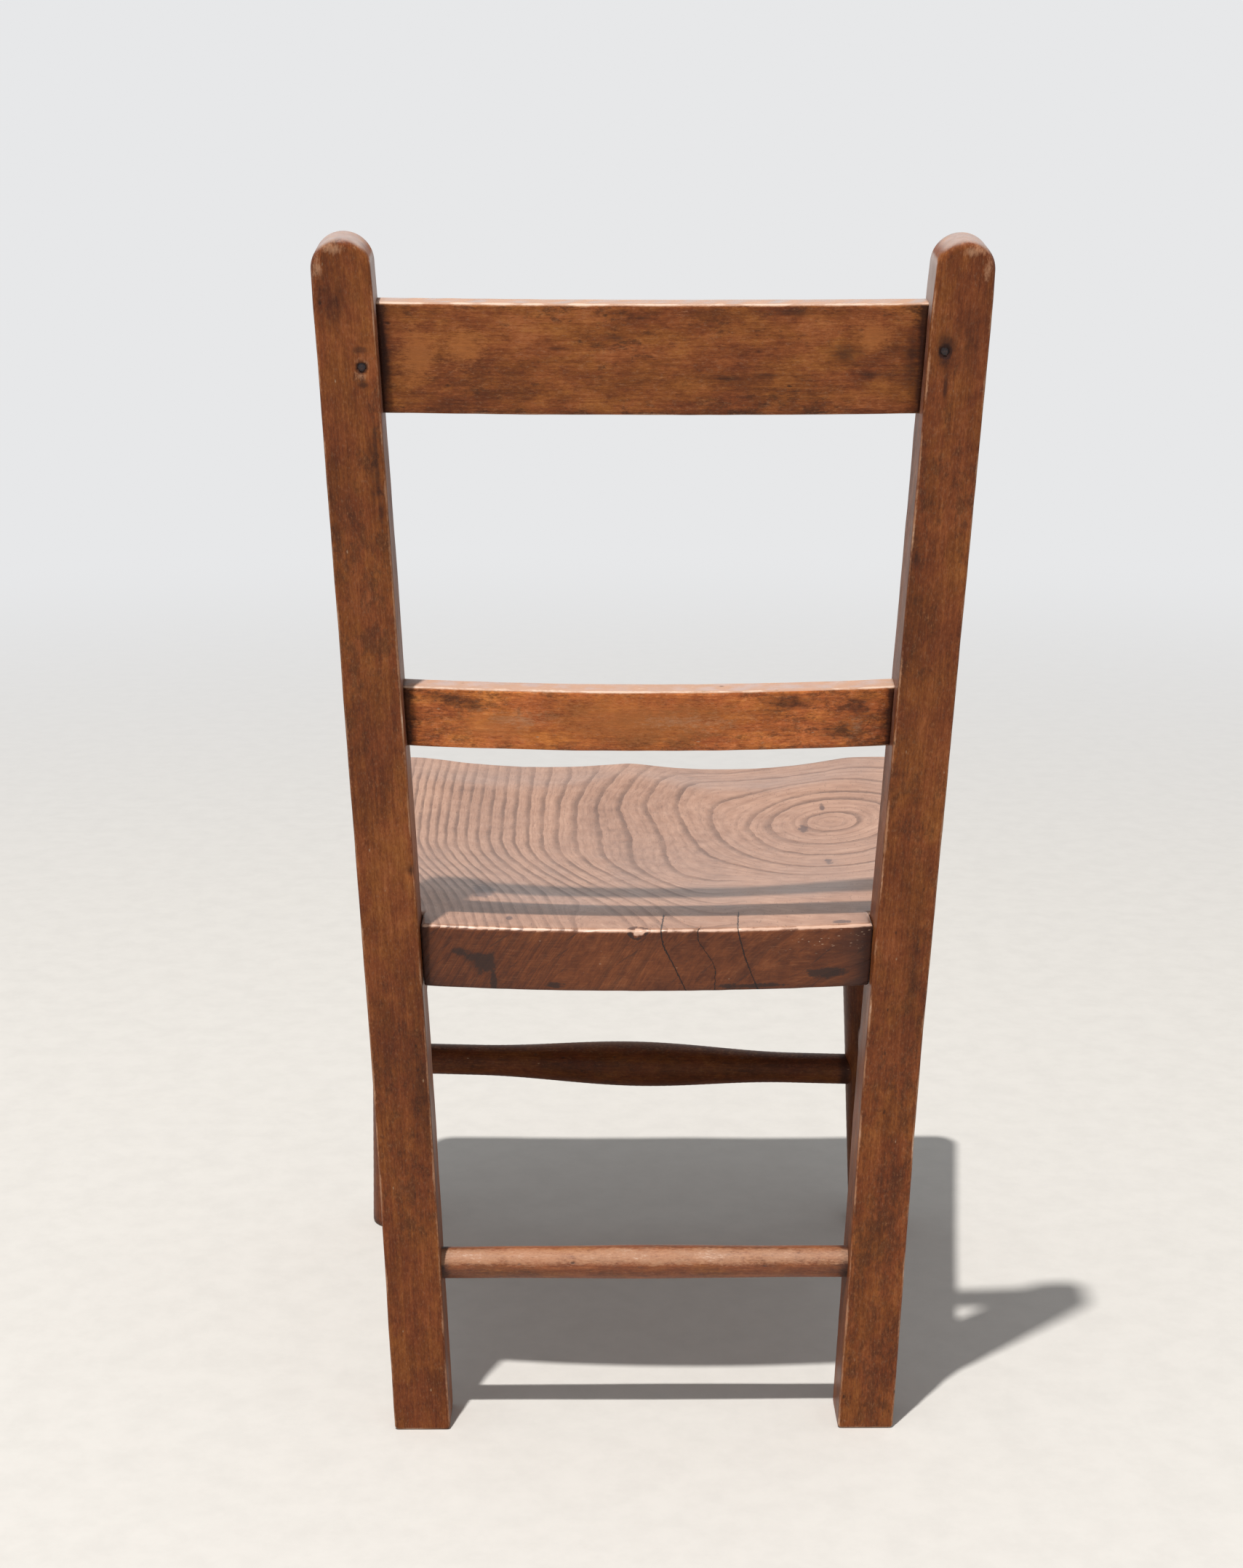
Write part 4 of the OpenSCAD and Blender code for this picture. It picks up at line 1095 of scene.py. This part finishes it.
LEG_RADIUS = through([(0, LEG_FOOT_D), (LEG_L * 0.3, (LEG_FOOT_D + LEG_D) / 2), (LEG_L * 0.6, LEG_D),
                      (LEG_L * 0.7, LEG_D), (LEG_L * 0.9, (LEG_TOP_D + LEG_D) / 2),
                      (LEG_L + LEG_BURY, LEG_TOP_D)])


def front_leg(name, seed):
    foot = leg_middle(SIDES[name], 0.0)
    up = (leg_middle(SIDES[name], LEG_TOP[2]) - foot) / LEG_L
    end = foot + up * (LEG_L + LEG_BURY)
    return turning_piece(f"front_leg_{name}", LEG_WOOD[name], foot, end, LEG_RADIUS, seed,
                         grime_at=(LEG_L, 0.0), flat_foot=True)


def swelled(length, d, end_d, plain):
    """Radius curve of a rod that is end_d thick for plain at each end, and d in its middle."""
    def radius(s):
        u = (s - plain) / (length - 2 * plain)
        return end_d / 2 + (d - end_d) / 2 * (math.sin(math.pi * u) ** 2 if 0 < u < 1 else 0)
    return radius


def stretcher(name, material, ends, d, hidden, plain, seed, worn, wear_and_highlight_side=(0, 0, 1), end_d=STRETCHER_END_D):
    """hidden is how much of each end lies inside its post or leg."""
    length = np.linalg.norm(ends[1] - ends[0])
    return turning_piece(name, material, *ends, swelled(length, d, end_d, plain), seed, 1.7,
                         (hidden[0], length - hidden[1]), worn, wear_and_highlight_side)


front_leg("left", 61)
front_leg("right", 67)
stretcher("front_stretcher", FRONT_ROD_WOOD,
          [leg_middle(side, FRONT_STRETCHER_H + side * FRONT_STRETCHER_LIFT / 2) for side in (-1, 1)],
          FRONT_STRETCHER_D, (LEG_D / 2, LEG_D / 2), LEG_D / 2 + FRONT_STRETCHER_PLAIN, 71, 0.35,
          end_d=FRONT_STRETCHER_END_D)
# the rear stretcher's pale band faces between the camera and the key: a painted highlight
stretcher("rear_stretcher", REAR_ROD_WOOD, [post_middle(side, REAR_STRETCHER_H) for side in (-1, 1)],
          REAR_STRETCHER_D, (POST_W / 2, POST_W / 2), POST_W, 73, 0.85, (0, 0.69, 0.72))
SIDE_ROD_Z = FRONT_STRETCHER_H + SIDE_STRETCHER_RISE
for rod_name, rod_side in SIDES.items():
    stretcher(f"side_stretcher_{rod_name}", SIDE_ROD_WOOD[rod_name],
              [post_middle(rod_side, SIDE_ROD_Z), leg_middle(rod_side, SIDE_ROD_Z)],
              SIDE_STRETCHER_D, (POST_D / 2, LEG_D / 2), LEG_D, 79 + rod_side, 0.4)

# ---- nails and plugs ----


def lathed(profile, start, axis, segments, rough, seed):
    """(points, wood, quads, triangles) of a closed turning from (distance, radius) pairs.

    Its first and last radii are 0, and rough is the height of the hammer marks on its last 2 mm.
    """
    points, wood, index, _ = turned(start, start + axis, profile[1:-1], segments)
    tips = np.array([start + axis * profile[0][0], start + axis * profile[-1][0]])
    points = points + axis * (rough * waves(wood, 2.6, seed))[:, None] * (wood[:, 2:3] > profile[-1][0] - 2)
    count = len(points)
    fans = [np.stack([np.roll(index[0], -1), index[0], np.full(segments, count)], -1),
            np.stack([index[-1], np.roll(index[-1], -1), np.full(segments, count + 1)], -1)]
    wood = np.concatenate([wood, [[0, 0, profile[0][0]], [0, 0, profile[-1][0]]]])
    return np.concatenate([points, tips]), wood, ring_faces(index), np.concatenate(fans)


def gather(parts):
    """Joins lathed parts into one set of (points, wood, faces)."""
    starts = np.cumsum([0] + [len(part[0]) for part in parts[:-1]])
    points, wood = (np.concatenate([part[k] for part in parts]) for k in (0, 1))
    return points, wood, [np.concatenate([part[k] + at for part, at in zip(parts, starts)]) for k in (2, 3)]


def nail(name):
    side = SIDES[name]
    x, run = nail_place(name)
    tip = raked(side * x, -NAIL_SINK - NAIL_L, run)
    out = raked(side * x, 0, run) - raked(side * x, -1, run)
    neck = NAIL_L - NAIL_HEAD_T
    r, head = NAIL_D / 2, NAIL_HEAD_D / 2
    outline = [(0, 0), (0.2, 0.35), (3.5, r), (neck - 1.2, r), (neck - 0.3, r * 1.3), (neck, head - 0.4),
               (neck + 0.10, head - 0.1), (neck + 0.25, head), (neck + 0.45, head - 0.1),
               (neck + 0.70, head - 0.4), (neck + 0.92, head - 0.85), (neck + 1.10, head - 1.5),
               (neck + 1.17, 0)]
    return lathed(outline, tip, out, 36, 0.16, 90 + side)


PLUG_PROUD = 0.2


def plug(side):
    face_x = post_outer_x(SCREW_Z) + PLUG_PROUD
    inner_end = np.array([side * (face_x - PLUG_L), post_middle(side, SCREW_Z)[1], SCREW_Z])
    axis = np.array([side * math.cos(SPLAY), 0, -math.sin(SPLAY)])
    r = PLUG_D / 2
    outline = [(0, 0), (0.01, r - 0.6), (0.4, r - 0.1), (0.8, r), (3, r), (PLUG_L - 0.5, r),
               (PLUG_L - 0.2, r - 0.12), (PLUG_L - 0.06, r - 0.4), (PLUG_L - 0.02, r * 0.75),
               (PLUG_L - 0.01, r * 0.5), (PLUG_L - 0.01, r * 0.25), (PLUG_L, 0)]
    return lathed(outline, inner_end, axis, 40, 0.05, 95 + side)


nail_points, nail_wood, nail_faces = gather([nail(name) for name in SIDES])
make_piece("rail_nails", "old_iron", IRON, nail_points, nail_faces, wood=nail_wood)
plug_points, plug_wood, plug_faces = gather([plug(side) for side in SIDES.values()])
plug_rim = smooth(np.hypot(plug_wood[:, 0], plug_wood[:, 1]), PLUG_D / 2 - 0.9, PLUG_D / 2 - 0.2)
make_piece("screw_plugs", "stained_beech", PLUG_WOOD, plug_points, plug_faces, wood=plug_wood[:, [0, 2, 1]],
           wear=np.zeros(len(plug_rim)), grime=0.8 * plug_rim, stain=np.full(len(plug_rim), NO_STAIN))

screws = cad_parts["seat_screws"].data
screws.materials.clear()
screws.materials.append(IRON)

# ---- floor, light and camera ----

PAPER = (0.80, 0.805, 0.815)               # what the camera sees beyond the floor
FLOOR_COLOUR = (0.620, 0.600, 0.570)
FLOOR_HALF = 6.0
SKY_COLOUR, SKY = (0.97, 0.985, 1.0), 0.46   # the plain light from all round, and its strength
KEY_COLOUR, KEY_POWER = (1.0, 0.975, 0.94), 432
KEY_AIM, KEY_DIRECTION = (0, 0, 0.25), (0.148, 0.377, 1.0)
KEY_DISTANCE, KEY_SIZE = 6.0, 0.15


def floor_material():
    """Pale plaster-like floor that fades into the pale background well away from the chair."""
    g = Graph(bpy.data.materials.new("floor"))
    place = g.node("NewGeometry", output="Position")
    grain = g.step(g.noise(place, 45, 6, 0.7), 0.3, 0.75)
    colour = g.mix(grain, FLOOR_COLOUR, tuple(0.94 * c for c in FLOOR_COLOUR))
    from_chair = g.node("VectorMath", {0: place}, "Value", operation="LENGTH")
    far = g.step(from_chair, 0.45, 3.2) * g.node("LightPath", output="Is Camera Ray")
    matt = g.node("BsdfDiffuse", {"Color": colour})
    glow = g.node("Emission", {"Color": PAPER, "Strength": 1.0})
    return g.surface("OutputMaterial", g.node("MixShader", {0: far, 1: matt, 2: glow}))


def studio_world():
    """Plain light from all round, behind which the camera and gloss see the pale background."""
    g = Graph(bpy.data.worlds.new("studio"))
    camera_ray = g.node("LightPath", output="Is Camera Ray")
    seen = g.larger(camera_ray, camera_ray.other("Is Glossy Ray"))
    sky, backdrop = g.node("Background", {0: SKY_COLOUR, 1: SKY}), g.node("Background", {0: PAPER})
    return g.surface("OutputWorld", g.node("MixShader", {0: seen, 1: sky, 2: backdrop}))


def look_matrix(place, right, up, ahead):
    return Matrix([[right[k], up[k], -ahead[k], place[k]] for k in range(3)] + [[0, 0, 0, 1]])


scene = bpy.context.scene
scene.world = studio_world()
floor_mesh = bpy.data.meshes.new("floor")
floor_mesh.from_pydata([(x * FLOOR_HALF, y * FLOOR_HALF, 0) for x, y in ((-1, -1), (1, -1), (1, 1), (-1, 1))],
                       [], [(0, 1, 2, 3)])
floor_mesh.materials.append(floor_material())
floor = bpy.data.objects.new("floor", floor_mesh)
scene.collection.objects.link(floor)

key = bpy.data.objects.new("key", bpy.data.lights.new("key", "AREA"))
key.data.shape, key.data.size, key.data.energy, key.data.color = "DISK", KEY_SIZE, KEY_POWER, KEY_COLOUR
to_key = np.array(KEY_DIRECTION) / np.linalg.norm(KEY_DIRECTION)
key_right = np.cross([0, 1, 0], to_key)
key_right /= np.linalg.norm(key_right)
key.matrix_world = look_matrix(np.array(KEY_AIM) + to_key * KEY_DISTANCE, key_right,
                               np.cross(to_key, key_right), -to_key)
scene.collection.objects.link(key)

# The camera stands behind the chair and looks slightly down on it.
CAMERA_AT = (0.0286, 1.2930, 0.6127)
CAMERA_YAW, CAMERA_DOWN, CAMERA_ROLL = (math.radians(a) for a in (0.783, 13.067, 0.160))
CAMERA_LENS = 57.78
ahead = np.array([-math.sin(CAMERA_YAW) * math.cos(CAMERA_DOWN),
                  -math.cos(CAMERA_YAW) * math.cos(CAMERA_DOWN), -math.sin(CAMERA_DOWN)])
level = np.array([-math.cos(CAMERA_YAW), math.sin(CAMERA_YAW), 0])
above = np.cross(level, ahead)
camera = bpy.data.objects.new("camera", bpy.data.cameras.new("camera"))
camera.data.sensor_fit, camera.data.sensor_width, camera.data.lens = "AUTO", 36, CAMERA_LENS
camera.data.clip_start, camera.data.clip_end = 0.05, 50
camera.matrix_world = look_matrix(CAMERA_AT, math.cos(CAMERA_ROLL) * level + math.sin(CAMERA_ROLL) * above,
                                  math.cos(CAMERA_ROLL) * above - math.sin(CAMERA_ROLL) * level, ahead)
scene.collection.objects.link(camera)
scene.camera = camera
scene.view_settings.view_transform = "Standard"
